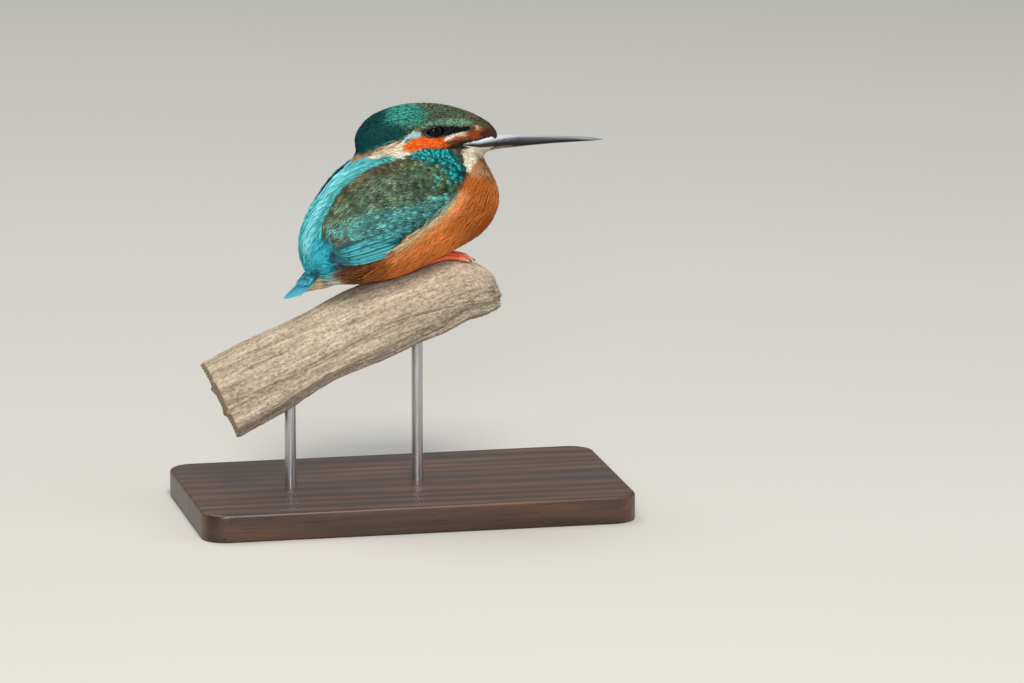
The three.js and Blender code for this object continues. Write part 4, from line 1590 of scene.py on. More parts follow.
@dataclass
class Plumes:
    """The feathers of one piece, gathered as arrays. The cup bends vanes down to their sides, per mm."""

    cup: float = 0.03
    places: list[Array] = field(default_factory=list)
    triangles: list[Array] = field(default_factory=list)
    colours: list[Array] = field(default_factory=list)
    bake: list[Array] = field(default_factory=list)
    barbs: list[Array] = field(default_factory=list)
    count: int = 0

    def lay(
        self,
        vane: Vane,
        stations: Array,
        normals: Array,
        width: Array,
        rise: tuple[Array | float, Array | float],
        colours: Array,
        roots: Array,
        roll: Array | float = 0.0,
        patch: Pair = (BAKE_PATCH, BAKE_PATCH),
    ) -> None:
        """Lay feathers of one pattern along paths.

        Args:
            vane: The pattern.
            stations: Three places of each feather's path (n, 3, 3).
            normals: The outward normals there.
            width: How wide each feather is.
            rise: How far root and tip stand over the path.
            colours: Colours (n, m, 3) of the pattern's points.
            roots: Places (n, 2) of the roots on the bake's map.
            roll: How far each is turned about its shaft, in radians.
            patch: The size of each feather on the bake's map.
        """
        y = vane.along
        place_share = np.stack([2 * (y - 0.5) * (y - 1), -4 * y * (y - 1), 2 * y * (y - 0.5)])
        run_share = np.stack([4 * y - 3, -8 * y + 4, 4 * y - 1])
        middle = np.einsum("nks,km->nms", stations, place_share)
        forward = unit(np.einsum("nks,km->nms", stations, run_share))
        outward = unit(np.einsum("nks,km->nms", normals, place_share))
        sideways = unit(np.cross(forward, outward))
        outward = np.cross(sideways, forward)
        turn = (np.zeros(len(stations)) + roll)[:, None, None]
        sideways, outward = (
            sideways * np.cos(turn) + outward * np.sin(turn),
            outward * np.cos(turn) - sideways * np.sin(turn),
        )
        length = np.linalg.norm(stations[:, 2] - stations[:, 0], axis=1)
        reach = vane.across[None, :] * width[:, None]
        low, high = (np.zeros(len(stations)) + end for end in rise)
        height = low[:, None] + (high - low)[:, None] * np.minimum(1, 1.15 * y)[None, :]
        height = height + vane.above[None, :] * length[:, None] - self.cup * reach**2
        made = middle + sideways * reach[:, :, None] + outward * height[:, :, None]
        n, m = made.shape[:2]
        self.places.append(made.reshape(-1, 3))
        offsets = self.count + np.arange(n)[:, None, None] * m
        self.triangles.append((vane.triangles[None] + offsets).reshape(-1, 3))
        self.colours.append(colours.reshape(-1, 3))
        local = np.stack([vane.across * patch[0], (vane.along - 0.5) * patch[1]], axis=1)
        self.bake.append((roots[:, None, :] + local[None]).reshape(-1, 2))
        self.barbs.append(np.tile(vane.barb, n))
        self.count += n * m

    def piece(
        self, name: str, slot: Slot, finish: FeatherFinish, nodes: Iterable[str] = ()
    ) -> bpy.types.Object:
        """Join the feathers into a piece.

        Args:
            name: The piece's name.
            slot: The record's slot.
            finish: What the feathers are dressed in.
            nodes: The CAD nodes that they stand for.

        Returns:
            The piece.
        """
        arrays = (np.concatenate(part) for part in (self.places, self.triangles, self.colours, self.bake))
        mesh = triangle_mesh(name, *arrays)
        if finish.barbed:
            barbs = mesh.attributes.new("barb", "FLOAT", "POINT")
            barbs.data.foreach_set("value", np.concatenate(self.barbs).astype(np.float32))
        return finish_piece(mesh, name, slot, finish.material(), nodes)


# ---- the bird's skin
@dataclass(frozen=True)
class EyePlace:
    """Where an eye sits: its ball, and the almond between its lids."""

    side: int
    radius: float = 3.7
    centre: Triple = (10.3, 9.2, 138.1)
    turn: float = 0.16
    half_length: float = 3.5
    half_height: float = 1.85

    @property
    def middle(self) -> Array:
        """Return the eyeball's centre."""
        return np.array(self.centre) * np.array([1, self.side, 1])

    @property
    def axes(self) -> tuple[Array, Array, Array]:
        """Work out the eye's directions.

        Returns:
            Directions towards the bill, up, and out along the gaze.
        """
        gaze = np.array([math.sin(self.turn), self.side * math.cos(self.turn), 0.0])
        ahead = np.array([math.cos(self.turn), -self.side * math.sin(self.turn), 0.0])
        return ahead, np.array([0.0, 0.0, 1.0]), gaze


def folded(points: Array) -> Array:
    """Return places with those of the right side mirrored onto the left."""
    return points * np.array([1, 0, 1]) + np.abs(points) * np.array([0, 1, 0])


def away_from_eyes(points: Array) -> Array:
    """Measure how far places lie from the nearer eyeball.

    Args:
        points: Places (n, 3) in mm.

    Returns:
        Distances from its surface in mm.
    """
    eye = EyePlace(LEFT)
    return np.linalg.norm(folded(points) - eye.middle, axis=1) - eye.radius


def between_lids(points: Array) -> Array:
    """Tell which places lie inside an eye's opening or on its lids.

    Args:
        points: Places (n, 3) in mm.

    Returns:
        True for those places.
    """
    eye = EyePlace(LEFT)
    ahead, up, out = ((folded(points) - eye.middle) @ axis for axis in eye.axes)
    reach = (ahead / (eye.half_length + 0.3)) ** 2 + ((up - 0.05 * ahead) / (eye.half_height + 0.16)) ** 2
    return (reach < 1) & (out > 0)


def under_tail(points: Array) -> Array:
    """Tell which places lie on the underside of the tail.

    Args:
        points: Places (n, 3) in mm.

    Returns:
        1 there, 0 elsewhere.
    """
    plan = TailPlan()
    root = np.array(plan.tip) - plan.along * plan.length
    above = (points - root) @ plan.up + plan.arch * points[:, 1] ** 2
    along = (points - root) @ plan.along
    return smooth_step(0.4, -0.8, above) * smooth_step(4, 10, along)


class WingFinder:
    """Tells which places of the skin lie under a folded wing."""

    def __init__(self) -> None:
        """Lay a net of points over both wings."""
        u, v = (part.ravel() for part in np.meshgrid(np.linspace(0, 1, 50), np.linspace(-1, 1, 30)))
        self.plan = np.tile(np.stack([u, v], axis=1), (2, 1))
        net = np.concatenate([WingChart(side).point(u, v) for side in (RIGHT, LEFT)])
        self.tree = kdtree.KDTree(len(net))
        for index, point in enumerate(net.tolist()):
            self.tree.insert(point, index)
        self.tree.balance()

    def find(self, points: Array) -> tuple[Array, Array]:
        """Find the nearest places of the wings.

        Args:
            points: Places (n, 3).

        Returns:
            Their u and v (n, 2), and how far off they are.
        """
        found = [self.tree.find(point) for point in points.tolist()]
        return self.plan[[hit[1] for hit in found]], np.array([hit[2] for hit in found])


@dataclass
class Skin:
    """One skin over the flesh of head, neck, body, wings and tail, below the coat."""

    voxel: float = 0.5
    swell: float = 0.28
    rounds: int = 9
    tip_rounds: int = 36
    body_depth: float = 0.95
    head_depth: float = 0.6
    face_depth: float = 0.28
    wing_depth: float = 1.7
    head_line: Pair = (129.1, -0.077)
    plug: float = 0.36
    bill: Triple = (35.0, 0.0, 131.5)
    flesh: tuple[str, ...] = ("head", "neck", "torso", "wing_right", "wing_left")
    # Of the tail's flesh: along it, half width, above and below.
    stump: tuple[tuple[float, float, float, float], ...] = (
        (-2, 6.0, 3.4, 9.6), (3, 6.2, 2.9, 9.4), (8, 6.6, 2.1, 7.6), (12, 6.2, 1.3, 4.6),
        (16, 5.2, 0.3, 2.0), (19, 3.4, -0.1, 0.6),
    )

    def stump_place(self, a: Array, b: Array) -> Array:
        """Lay out the tail's flesh.

        Args:
            a: Shares round it.
            b: Shares along it.

        Returns:
            Points (n, 3).
        """
        sizes = np.array(self.stump)
        along = lerp(sizes[0, 0], sizes[-1, 0], b)
        half, above, below = (np.interp(along, sizes[:, 0], sizes[:, i]) for i in (1, 2, 3))
        close = np.clip(np.minimum(b, 1 - b) / 0.04, 0, 1)
        angle = a * 2 * np.pi
        height = np.where(np.sin(angle) > 0, above, below) * np.sin(angle)
        return TailPlan().point(along, np.cos(angle) * half * close, height * close)

    def plug_place(self, a: Array, b: Array) -> Array:
        """Lay out a plug that closes the face round the bill.

        Args:
            a: Shares round it.
            b: Shares along it.

        Returns:
            Points (n, 3).
        """
        x, top, _, bottom, half = Bill().sizes(b * 0.27)
        close = np.clip(np.minimum(b, 1 - b) / 0.08, 0, 1) ** 0.5
        turn = a * 2 * np.pi
        height = ((top - bottom) / 2 + self.plug) * close
        middle = (top + bottom) / 2
        aside = np.cos(turn) * (half + self.plug) * close
        return np.stack([x, aside, middle + np.sin(turn) * height], axis=1)

    def fused(self) -> Mesh:
        """Fuse copies of the flesh nodes and the tail's flesh.

        Returns:
            One closed shell.
        """
        work = bmesh.new()
        for name in self.flesh:
            work.from_mesh(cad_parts[name].data)
        work.from_mesh(swept(24, 24, self.stump_place))
        work.from_mesh(swept(24, 24, self.plug_place))
        bmesh.ops.remove_doubles(work, verts=work.verts, dist=1e-6)
        work.normal_update()
        for vert in work.verts:
            vert.co += vert.normal * self.swell * MM
        holder = bpy.data.objects.new("flesh", solid_mesh(work, "flesh"))
        bpy.context.scene.collection.objects.link(holder)
        remesh = holder.modifiers.new("fuse", "REMESH")
        remesh.mode, remesh.voxel_size = "VOXEL", self.voxel * MM
        fused = bpy.data.meshes.new_from_object(holder.evaluated_get(bpy.context.evaluated_depsgraph_get()))
        bpy.data.objects.remove(holder)
        return fused

    def depth(self, places: Array, finder: WingFinder) -> Array:
        """Tell how far below the coat's outline the skin lies.

        Args:
            places: Places (n, 3) in mm.
            finder: What finds places on the wings.

        Returns:
            Depths in mm.
        """
        line = self.head_line[0] + self.head_line[1] * places[:, 0]
        head = smooth_step(-2.5, 2.5, places[:, 2] - line)
        depth = lerp(self.body_depth, self.head_depth, head)
        depth = lerp(self.face_depth, depth, smooth_step(1.4, 5.5, away_from_eyes(places)))
        bill = np.linalg.norm(places - np.array(self.bill), axis=1)
        depth = lerp(self.face_depth, depth, smooth_step(5.0, 13.0, bill))
        plan, off = finder.find(places)
        wing = smooth_step(2.2, 0.8, off) * smooth_step(1.0, 0.85, np.abs(plan[:, 1]))
        return lerp(depth, self.wing_depth, wing)

    def build(self, finder: WingFinder) -> Surface:
        """Build the skin and put it in the scene.

        Args:
            finder: Where the wings lie.

        Returns:
            The skin's surface, for rooting feathers.
        """
        mesh = self.fused()
        mesh.calc_loop_triangles()
        places = self.read(mesh.vertices, "co", 3, float) / MM
        triangles = self.read(mesh.loop_triangles, "vertices", 3, np.int32)
        edges = self.read(mesh.edges, "vertices", 2, np.int32)
        near_eye = smooth_step(0.8, 3.5, away_from_eyes(places))
        places = self.eased(places, edges, self.rounds, lerp(0.15, 0.6, near_eye))
        plan, off = finder.find(places)
        tip = smooth_step(3.0, 1.4, off) * smooth_step(0.88, 0.97, plan[:, 0])
        places = self.eased(places, edges, self.tip_rounds, 0.7 * tip)
        surface = Surface(places, triangles)
        places = places - surface.normals * (self.depth(places, finder) + self.swell)[:, None]
        places = self.eased(places, edges, 4, lerp(0.1, 0.5, near_eye))
        surface = Surface(places, triangles)
        tint, _ = painted(places)
        # The coat's markings, darkened to 0.62 as painted shade where the skin shows between the feathers.
        made = triangle_mesh("skin", places, triangles, tint * 0.62)
        nodes = (*self.flesh, "tail")
        finish_piece(made, "body_skin", Slot.BREAST, SkinFinish().material(), nodes)
        bpy.data.meshes.remove(mesh)
        return surface

    @staticmethod
    def read(parts: bpy.types.bpy_prop_collection, name: str, size: int, kind: type) -> Array:
        """Read a value of a mesh's points, edges or triangles.

        Args:
            parts: The points, edges or triangles.
            name: The value's name.
            size: How many numbers it has.
            kind: What they are.

        Returns:
            The values (n, size).
        """
        values = np.empty(len(parts) * size, dtype=kind)
        parts.foreach_get(name, values)
        return values.reshape(-1, size)

    @staticmethod
    def eased(places: Array, edges: Array, rounds: int, share: Array) -> Array:
        """Smooth points towards the middle of their neighbours.

        Args:
            places: Points (n, 3).
            edges: Pairs of neighbours (k, 2).
            rounds: How often.
            share: How far each moves a round.

        Returns:
            The smoothed points.
        """
        count = np.bincount(edges.ravel(), minlength=len(places))[:, None]
        for _ in range(rounds):
            total = np.zeros_like(places)
            for axis in range(3):
                for one, other in ((0, 1), (1, 0)):
                    total[:, axis] += np.bincount(edges[:, one], places[edges[:, other], axis], len(places))
            places = places + (total / np.maximum(count, 1) - places) * share[:, None]
        return places


# ---- the body's coat
@dataclass
class BodyCoat:
    """The small feathers of head, neck and body, rooted on the skin and lying back from the bill."""

    skin: Surface
    finder: WingFinder
    seed: int = 41
    density: float = 17.0
    source: Triple = (32.0, 0.0, 131.5)
    sink: Triple = (-48.0, 0.0, 72.0)
    spine: tuple[Pair, ...] = (
        (-44, 74), (-30, 88), (-14, 102), (2, 114), (8, 126), (14, 135), (36, 132),
    )
    variants: int = 4
    bill: Triple = (34.0, 0.0, 131.5)
    vent_tint: Tint = Tint(214, 186, 148)
    vent_accent: Tint = Tint(236, 222, 198)

    def lie(self, points: Array) -> Array:
        """Return the way in which feathers lie: away from the bill's base, towards the tail."""
        return unit(points - np.array(self.source)) + unit(np.array(self.sink) - points)

    def unwrap(self, points: Array) -> Array:
        """Lay places out round and along the bird's own axis.

        Args:
            points: Places (n, 3).

        Returns:
            Places (n, 2) on the bake's map.
        """
        spine = np.array(self.spine, dtype=float)
        flat = points[:, [0, 2]]
        best = np.full(len(points), 1e9)
        map_place = np.zeros((len(points), 2))
        pieces = len(spine) - 1
        for i in range(pieces):
            run = spine[i + 1] - spine[i]
            share = np.clip((flat - spine[i]) @ run / (run @ run), 0, 1)
            off = flat - spine[i] - share[:, None] * run
            distance = np.linalg.norm(off, axis=1)
            height = off @ np.array([-run[1], run[0]]) / np.linalg.norm(run)
            angle = np.arctan2(points[:, 1], height)
            nearer = distance < best
            best = np.where(nearer, distance, best)
            made = np.stack([0.5 + angle / (2 * np.pi) * 0.96, 0.02 + 0.96 * (i + share) / pieces], axis=1)
            map_place = np.where(nearer[:, None], made, map_place)
        return map_place

    def rooted(self, rng: Draws) -> tuple[Array, Array, list[Plumage | None]]:
        """Draw candidates for roots, away from wings, eyes and bill.

        Args:
            rng: The source of the draws.

        Returns:
            Their places, normals and kinds of plumage.
        """
        places, normals = self.skin.scatter(self.density, rng)
        plan, off = self.finder.find(places)
        u, v = plan.T
        below = (off < 3.2) & (v > -0.8) & (v < 0.84) & (u > 0.05) & (u < 0.92) & ((u < 0.8) | (v > 0.05))
        below |= (off < 3.2) & (v > 0.8) & (v < 1.01) & (u > 0.48) & (u < 0.9)
        below |= (off < 2.4) & (u > 0.97)
        free = ~below & ~between_lids(places) & ~Gape.inside(places)
        places, normals = places[free], normals[free]
        return places, normals, plumage_at(places)

    def build(self) -> None:
        """Grow every kind of plumage on both sides."""
        rng = np.random.default_rng(self.seed)
        places, normals, kinds = self.rooted(rng)
        for plumage in Plumage:
            of_kind = np.array([kind is plumage for kind in kinds])
            spots, outward = places[of_kind], normals[of_kind]
            chosen = thinned(spots, plumage.value.spacing)
            self.grow(plumage.value, spots[chosen], outward[chosen], rng)

    def grow(self, cover: Cover, roots: Array, normals: Array, rng: Draws) -> None:
        """Grow one kind of feathers.

        Args:
            cover: Their sizes.
            roots: Where they are rooted.
            normals: The skin's normals there.
            rng: The source of their variety.
        """
        lie = self.lie(roots)
        lie = unit(lie - normals * (lie * normals).sum(axis=1)[:, None])
        yaw = 0.16 * value_noise(roots * 0.25, 21) + rng.normal(0, 0.09, len(roots))
        lie = lie * np.cos(yaw)[:, None] + np.cross(normals, lie) * np.sin(yaw)[:, None]
        face = lerp(0.62, 1.0, smooth_step(1.0, 7.5, away_from_eyes(roots)))
        bill = np.linalg.norm(roots - np.array(self.bill), axis=1)
        small = face * lerp(0.55, 1.0, smooth_step(4.0, 14.0, bill))
        lengths = cover.length * small * rng.uniform(0.84, 1.14, len(roots))
        stations, outward = self.skin.walk(roots, normals, lie, lengths)
        seen = lerp(stations[:, 1], stations[:, 2], 0.4)
        tint, accent = painted(seen)
        below = under_tail(seen)[:, None]
        tint = lerp(tint, self.vent_tint.linear(), below)
        accent = lerp(accent, self.vent_accent.linear(), below)
        clouds = 0.12 * value_noise(roots * 0.35, 31)
        finish = GLOSSY_FEATHER if cover.gloss else SOFT_FEATHER
        sort = rng.integers(0, self.variants, len(roots))
        vanes = [cover.vane(rng) for _ in range(self.variants)]
        for side, word in SIDES.items():
            plumes = Plumes()
            for variant, vane in enumerate(vanes):
                own = (sort == variant) & (roots[:, 1] * side >= 0)
                if not own.any():
                    continue
                jitter = clouds[own] + rng.normal(0, 0.07, own.sum())
                plumes.lay(
                    vane, stations[own], outward[own],
                    cover.width * (0.35 + 0.65 * small[own]) * rng.uniform(0.85, 1.15, own.sum()),
                    (-0.12, cover.lift * small[own] * rng.uniform(0.7, 1.25, own.sum())),
                    pattern_colours(cover.pattern, vane, tint[own], accent[own], jitter),
                    self.unwrap(roots[own]), roll=rng.uniform(-0.14, 0.14, own.sum()),
                )
            if plumes.places:
                plumes.piece(f"{cover.piece}_{word}", cover.slot, finish)


# ---- wings
@dataclass(frozen=True)
class QuillRow:
    """A fan of long wing feathers: u of roots and tips, v of the first and last of each, and sizes."""

    root: Pair
    tip: Pair
    start: Pair
    end: Pair
    count: int
    width: float
    lift: float
    tint: Tint
    accent: Tint


@dataclass
class Wing:
    """A folded wing: rows of coverts over fans of quills."""

    side: int
    seed: int
    rows: int = 37
    first: float = -0.015
    last: float = 0.79
    lengths: Pair = (3.2, 6.8)
    widths: Pair = (2.0, 3.0)
    low_fall: float = math.radians(14)
    # Where the bared part of the quills begins: u, and v.
    bared: tuple[tuple[float, ...], tuple[float, ...]] = (
        (0.42, 0.53, 0.6, 0.66, 0.74, 0.83, 0.9, 1.0), (1.3, 1.1, 0.82, 0.58, 0.4, 0.22, 0.05, -0.3),
    )
    spotted: float = 0.24
    drape: tuple[float, ...] = (-0.91, -0.96)
    spots: float = 0.3
    quills: tuple[QuillRow, ...] = (
        QuillRow(
            (0.5, 0.5), (0.9, 0.9), (-0.9, 0.3), (-0.8, 0.2), 10, 4.0, 0.1,
            Tint(60, 70, 54), Tint(108, 124, 104),
        ),
        QuillRow(
            (0.6, 0.72), (0.945, 0.9), (0.6, 0.97), (0.2, 0.8), 7, 2.8, -0.2,
            Tint(8, 74, 86), Tint(56, 170, 184),
        ),
        QuillRow(
            (0.42, 0.6), (0.9, 0.86), (0.7, 1.01), (0.08, 0.8), 8, 3.5, 0.4,
            Tint(2, 98, 108), Tint(84, 212, 220),
        ),
    )

    def build(self) -> None:
        """Build the coverts and the quills."""
        rng = np.random.default_rng(self.seed)
        word = SIDES[self.side]
        node = f"wing_{word}"
        self.coverts(rng).piece(f"wing_coverts_{word}", Slot.WING, SOFT_FEATHER, (node,))
        self.fans(rng).piece(f"wing_quills_{word}", Slot.WING, QUILL_FEATHER, (node,))
        self.mantle(rng).piece(f"mantle_feathers_{word}", Slot.WING, GLOSSY_FEATHER, (node,))

    def heading(self, u: Array, v: Array) -> Array:
        """Give the way in which coverts lie.

        Args:
            u: Places from shoulder to tip.
            v: Places from upper to lower edge.

        Returns:
            Steps (n, 2) of u and v that go one mm over the wing.
        """
        chart, plan, step = WingChart(self.side), MarkingPlan(), 0.01
        spots = [chart.point(u, v), chart.point(u + step, v), chart.point(u, v + step)]
        flat = [np.stack(plan.place(spot), axis=1) for spot in spots]
        along, down = (flat[1] - flat[0]) / step, (flat[2] - flat[0]) / step
        level = np.array([-math.cos(self.low_fall), math.sin(self.low_fall)])
        wish = unit(lerp(unit(along), level, smooth_step(-0.55, 0.6, v)[:, None] * 0.9))
        area = along[:, 0] * down[:, 1] - along[:, 1] * down[:, 0]
        area = np.where(np.abs(area) < 1e-6, 1e-6, area)
        du = (wish[:, 0] * down[:, 1] - wish[:, 1] * down[:, 0]) / area
        dv = (along[:, 0] * wish[:, 1] - along[:, 1] * wish[:, 0]) / area
        run = (spots[1] - spots[0]) / step * du[:, None] + (spots[2] - spots[0]) / step * dv[:, None]
        made = np.stack([du, dv], axis=1) / np.linalg.norm(run, axis=1)[:, None]
        return np.clip(made, (-0.01, -0.05), (0.06, 0.05))

    def unwrap(self, u: Array, v: Array) -> Array:
        """Return the places (n, 2) on the bake's map of coverts rooted at u and v."""
        return np.stack([0.05 + 0.9 * u, 0.5 + 0.45 * v], axis=1)

    def over_quills(self, u: Array, v: Array) -> Array:
        """Return whether coverts with tips at u and v stay off the bared part of the quills."""
        return (v < np.interp(u, *self.bared)) & (u < 0.93)

    def coverts(self, rng: Draws) -> Plumes:
        """Lay the rows of scapulars and coverts.

        Args:
            rng: The random draws.

        Returns:
            The feathers.
        """
        plumes = Plumes()
        chart = WingChart(self.side)
        for row in range(self.rows):
            share = row / (self.rows - 1)
            level = lerp(self.first, self.last, share)
            length = lerp(self.lengths[0], self.lengths[1], share**0.9)
            width = lerp(self.widths[0], self.widths[1], share)
            edge = np.linspace(-1, 1, 60)
            line = chart.point(np.full(60, max(level, 0.03)), edge)
            reach = np.concatenate([[0], np.cumsum(np.linalg.norm(np.diff(line, axis=0), axis=1))])
            count = max(3, int(reach[-1] / (width * 0.42)))
            spots = (np.arange(count) + 0.5 * (row % 2) + rng.uniform(-0.22, 0.22, count)) / count
            v = np.interp(spots * reach[-1], reach, edge)
            u = level + rng.normal(0, 0.007, count)
            keep = (v < 0.99) & (v > -0.97) & ((share < 0.85) | (v > -0.9))
            self.row(plumes, u[keep], v[keep], length, width, share, rng)
        return plumes

    def row(
        self, plumes: Plumes, u: Array, v: Array, length: float, width: float, share: float, rng: Draws
    ) -> None:
        """Lay one row of coverts.

        Args:
            plumes: Gathers them.
            u: Places from shoulder to tip.
            v: Places from upper to lower edge.
            length: How long they are.
            width: How wide they are.
            share: 0 for the first row, 1 for the last.
            rng: The source of their variety.
        """
        steps = self.heading(u, v)
        steps = steps + steps[:, ::-1] * np.array([0.2, -0.2]) * rng.normal(0, 0.5, (len(u), 1))
        long = length * rng.uniform(0.86, 1.12, len(u))
        path = [(u + steps[:, 0] * long * k, v + steps[:, 1] * long * k) for k in (0, 0.5, 1)]
        stations, outward = WingChart(self.side).paths(path)
        keep = self.over_quills(*path[2])
        if not keep.any():
            return
        u, v, stations, outward = u[keep], v[keep], stations[keep], outward[keep]
        tint, accent = painted(lerp(stations[:, 1], stations[:, 2], 0.5), True)
        pattern = Pattern.SPOTTED if u.mean() < self.spotted else Pattern.FLECKED
        plain = (rng.random(len(u)) > self.spots) & (pattern is Pattern.SPOTTED) & (tint[:, 2] < 0.07)
        accent = np.where(plain[:, None], tint * 1.9, accent)
        sort = rng.integers(0, 3, len(u))
        for variant in range(3):
            own = sort == variant
            if not own.any():
                continue
            dense = 0.95 if pattern is Pattern.SPOTTED else 0.72
            vane = Vane.cut(18, 0.44, dense, 0.26, width / length, rng, 3.2)
            jitter = rng.normal(0, 0.3, own.sum()) + 0.4 * value_noise(stations[own][:, 1] * 0.55, 19)
            jitter = np.clip(jitter, -0.6, 1.0)
            plumes.lay(
                vane, stations[own], outward[own], width * rng.uniform(0.88, 1.12, own.sum()),
                (-0.75, lerp(0.2, 0.45, share) * rng.uniform(0.5, 1.3, own.sum())),
                pattern_colours(pattern, vane, tint[own], accent[own], jitter),
                self.unwrap(u[own], v[own]),
                roll=rng.uniform(-0.16, 0.16, own.sum()),
            )

    def mantle(self, rng: Draws) -> Plumes:
        """Lay the back's feathers that drape over the wing's upper edge.

        Args:
            rng: The random draws.

        Returns:
            The feathers.
        """
        plumes = Plumes()
        chart = WingChart(self.side)
        cover = Plumage.BACK.value
        for row, level in enumerate(self.drape):
            count = 64
            u = np.linspace(0.04, 0.84, count) + 0.006 * (row % 2) + rng.normal(0, 0.004, count)
            v = level + rng.normal(0, 0.015, count)
            long = rng.uniform(0.85, 1.15, count)
            path = [(u + 0.1 * k * long, v - 0.2 * k * long) for k in (0, 0.5, 1)]
            stations, outward = chart.paths(path)
            tint, accent = painted(chart.point(u + 0.05, v * 0 - 1.12))
            for variant in range(3):
                own = np.arange(variant, count, 3)
                vane = cover.vane(rng)
                width = cover.width * rng.uniform(0.85, 1.15, len(own))
                jitter = rng.normal(0, 0.1, len(own))
                plumes.lay(
                    vane, stations[own], outward[own], width, (-0.7, 0.5),
                    pattern_colours(cover.pattern, vane, tint[own], accent[own], jitter),
                    self.unwrap(u[own], v[own]),
                    roll=rng.uniform(-0.14, 0.14, len(own)),
                )
        return plumes

    def fans(self, rng: Draws) -> Plumes:
        """Lay the fans of tertials, secondaries and primaries.

        Args:
            rng: The random draws.

        Returns:
            The feathers.
        """
        plumes = Plumes()
        chart = WingChart(self.side)
        cell = 0
        for quill_row in self.quills:
            share = np.linspace(0, 1, quill_row.count)
            ease = share + rng.uniform(-0.25, 0.25, quill_row.count) / quill_row.count
            start, end = lerp(*quill_row.start, ease), lerp(*quill_row.end, ease)
            reach = lerp(*quill_row.tip, share) + 0.008 * np.sin(7 * np.arange(quill_row.count))
            root = lerp(*quill_row.root, share)
            path = [(lerp(root, reach, k), lerp(start, end, k)) for k in (0, 0.5, 1)]
            stations, outward = chart.paths(path)
            for i in range(quill_row.count):
                own = slice(i, i + 1)
                length = float(np.linalg.norm(stations[i, 2] - stations[i, 0]))
                vane = Vane.blade(int(length / 0.32), 4.0, 4, rng)
                light = rng.normal(0, 0.08, 1)
                tint, accent = quill_row.tint.linear()[None], quill_row.accent.linear()[None]
                spot = np.array([[0.04 + 0.036 * (cell % 26), 0.3 + 0.45 * (cell // 26)]])
                plumes.lay(
                    vane, stations[own], outward[own], np.array([quill_row.width]), (-0.6, quill_row.lift),
                    pattern_colours(Pattern.WEBBED, vane, tint, accent, light, self.side),
                    spot, roll=self.side * 0.16, patch=(0.03, 0.4),
                )
                cell += 1
        return plumes


# ---- tail
@dataclass
class Tail:
    """The short tail: twelve quills under loose upper coverts, with pale coverts below."""

    seed: int = 73
    quills: int = 12
    root: float = 4.0
    tip: float = 22.3
    spread: Pair = (4.0, 6.3)
    width: float = 3.3
    short: float = 5.0
    covert_rows: int = 9
    tint: Tint = Tint(22, 122, 146)
    accent: Tint = Tint(84, 186, 206)
    plan: TailPlan = TailPlan()

    def build(self) -> None:
        """Build the quills and the coverts over them."""
        rng = np.random.default_rng(self.seed)
        self.fan(rng).piece("tail_quills", Slot.TAIL, QUILL_FEATHER, ("tail",))
        self.cover(rng).piece("tail_coverts", Slot.TAIL, GLOSSY_FEATHER, ("tail",))

    def outward(self, across: Array) -> Array:
        """Return the upper side's normals across the tail."""
        lean = 2 * self.plan.arch * across
        return unit(self.plan.up[None] + lean[:, None] * np.array([0.0, 1.0, 0.0]))

    def paths(self, spots: Sequence[tuple[Array, Array, Array]]) -> tuple[Array, Array]:
        """Find the stations of feathers and the upper side's normals there.

        Args:
            spots: The root, the middle and the tip: distances along, across and above the tail.

        Returns:
            Stations and normals (n, 3, 3).
        """
        stations = np.stack([self.plan.point(*spot) for spot in spots], axis=1)
        return stations, np.stack([self.outward(across) for _, across, _ in spots], axis=1)

    def fan(self, rng: Draws) -> Plumes:
        """Lay the quills.

        Args:
            rng: The random draws.

        Returns:
            The feathers.
        """
        plumes = Plumes()
        share = np.linspace(-1, 1, self.quills)
        reach = self.tip - self.short * np.abs(share) ** 1.6
        spots = []
        for k in (0, 0.5, 1):
            above = lerp(0.9, 0.0, k) + 0.5 * (1 - np.abs(share))
            spots.append((lerp(self.root, reach, k), share * lerp(*self.spread, k), above))
        stations, outward = self.paths(spots)
        for i in range(self.quills):
            length = float(reach[i] - self.root)
            vane = Vane.blade(int(length / 0.32), 3.6, 4, rng)
            tint, accent = self.tint.linear()[None], self.accent.linear()[None]
            colours = pattern_colours(Pattern.EDGED, vane, tint, accent, rng.normal(0, 0.06, 1))
            roll = 0.14 if share[i] < 0 else -0.14
            spot = np.array([[0.06 + 0.07 * i, 0.3]])
            plumes.lay(
                vane, stations[i : i + 1], outward[i : i + 1], np.array([self.width]), (0.0, 0.0),
                colours, spot, roll=roll, patch=(0.06, 0.45),
            )
        return plumes

    def cover(self, rng: Draws) -> Plumes:
        """Lay the loose coverts over the quills' roots.

        Args:
            rng: The random draws.

        Returns:
            The feathers.
        """
        plumes = Plumes()
        for row in range(self.covert_rows):
            share = row / (self.covert_rows - 1)
            start = lerp(-3.0, 8.5, share)
            length = lerp(8.5, 7.5, share)
            half = lerp(4.8, 5.6, share)
            count = 13 - (row % 2)
            across = np.linspace(-half, half, count) + rng.uniform(-0.3, 0.3, count)
            level = lerp(3.4, 1.2, share)
            long = length * rng.uniform(0.86, 1.1, count) * (1 - 0.22 * np.abs(across / half) ** 2)
            spots = []
            for k in (0, 0.5, 1):
                above = np.full(count, lerp(level, level * 0.55, k))
                spots.append((start + long * k, across * lerp(1.0, 1.08, k), above))
            stations, outward = self.paths(spots)
            vane = Plumage.BACK.value.vane(rng)
            tint, accent = (np.tile(kept.linear(), (count, 1)) for kept in (self.tint, self.accent))
            plumes.lay(
                vane, stations, outward, 2.7 * rng.uniform(0.85, 1.15, count),
                (-0.5, 0.35 * rng.uniform(0.5, 1.3, count)),
                pattern_colours(Pattern.STREAKED, vane, tint, accent, rng.normal(0, 0.12, count)),
                np.stack([0.5 + across / 14, np.full(count, 0.1 + 0.8 * share)], axis=1),
                roll=rng.uniform(-0.15, 0.15, count),
            )
        return plumes


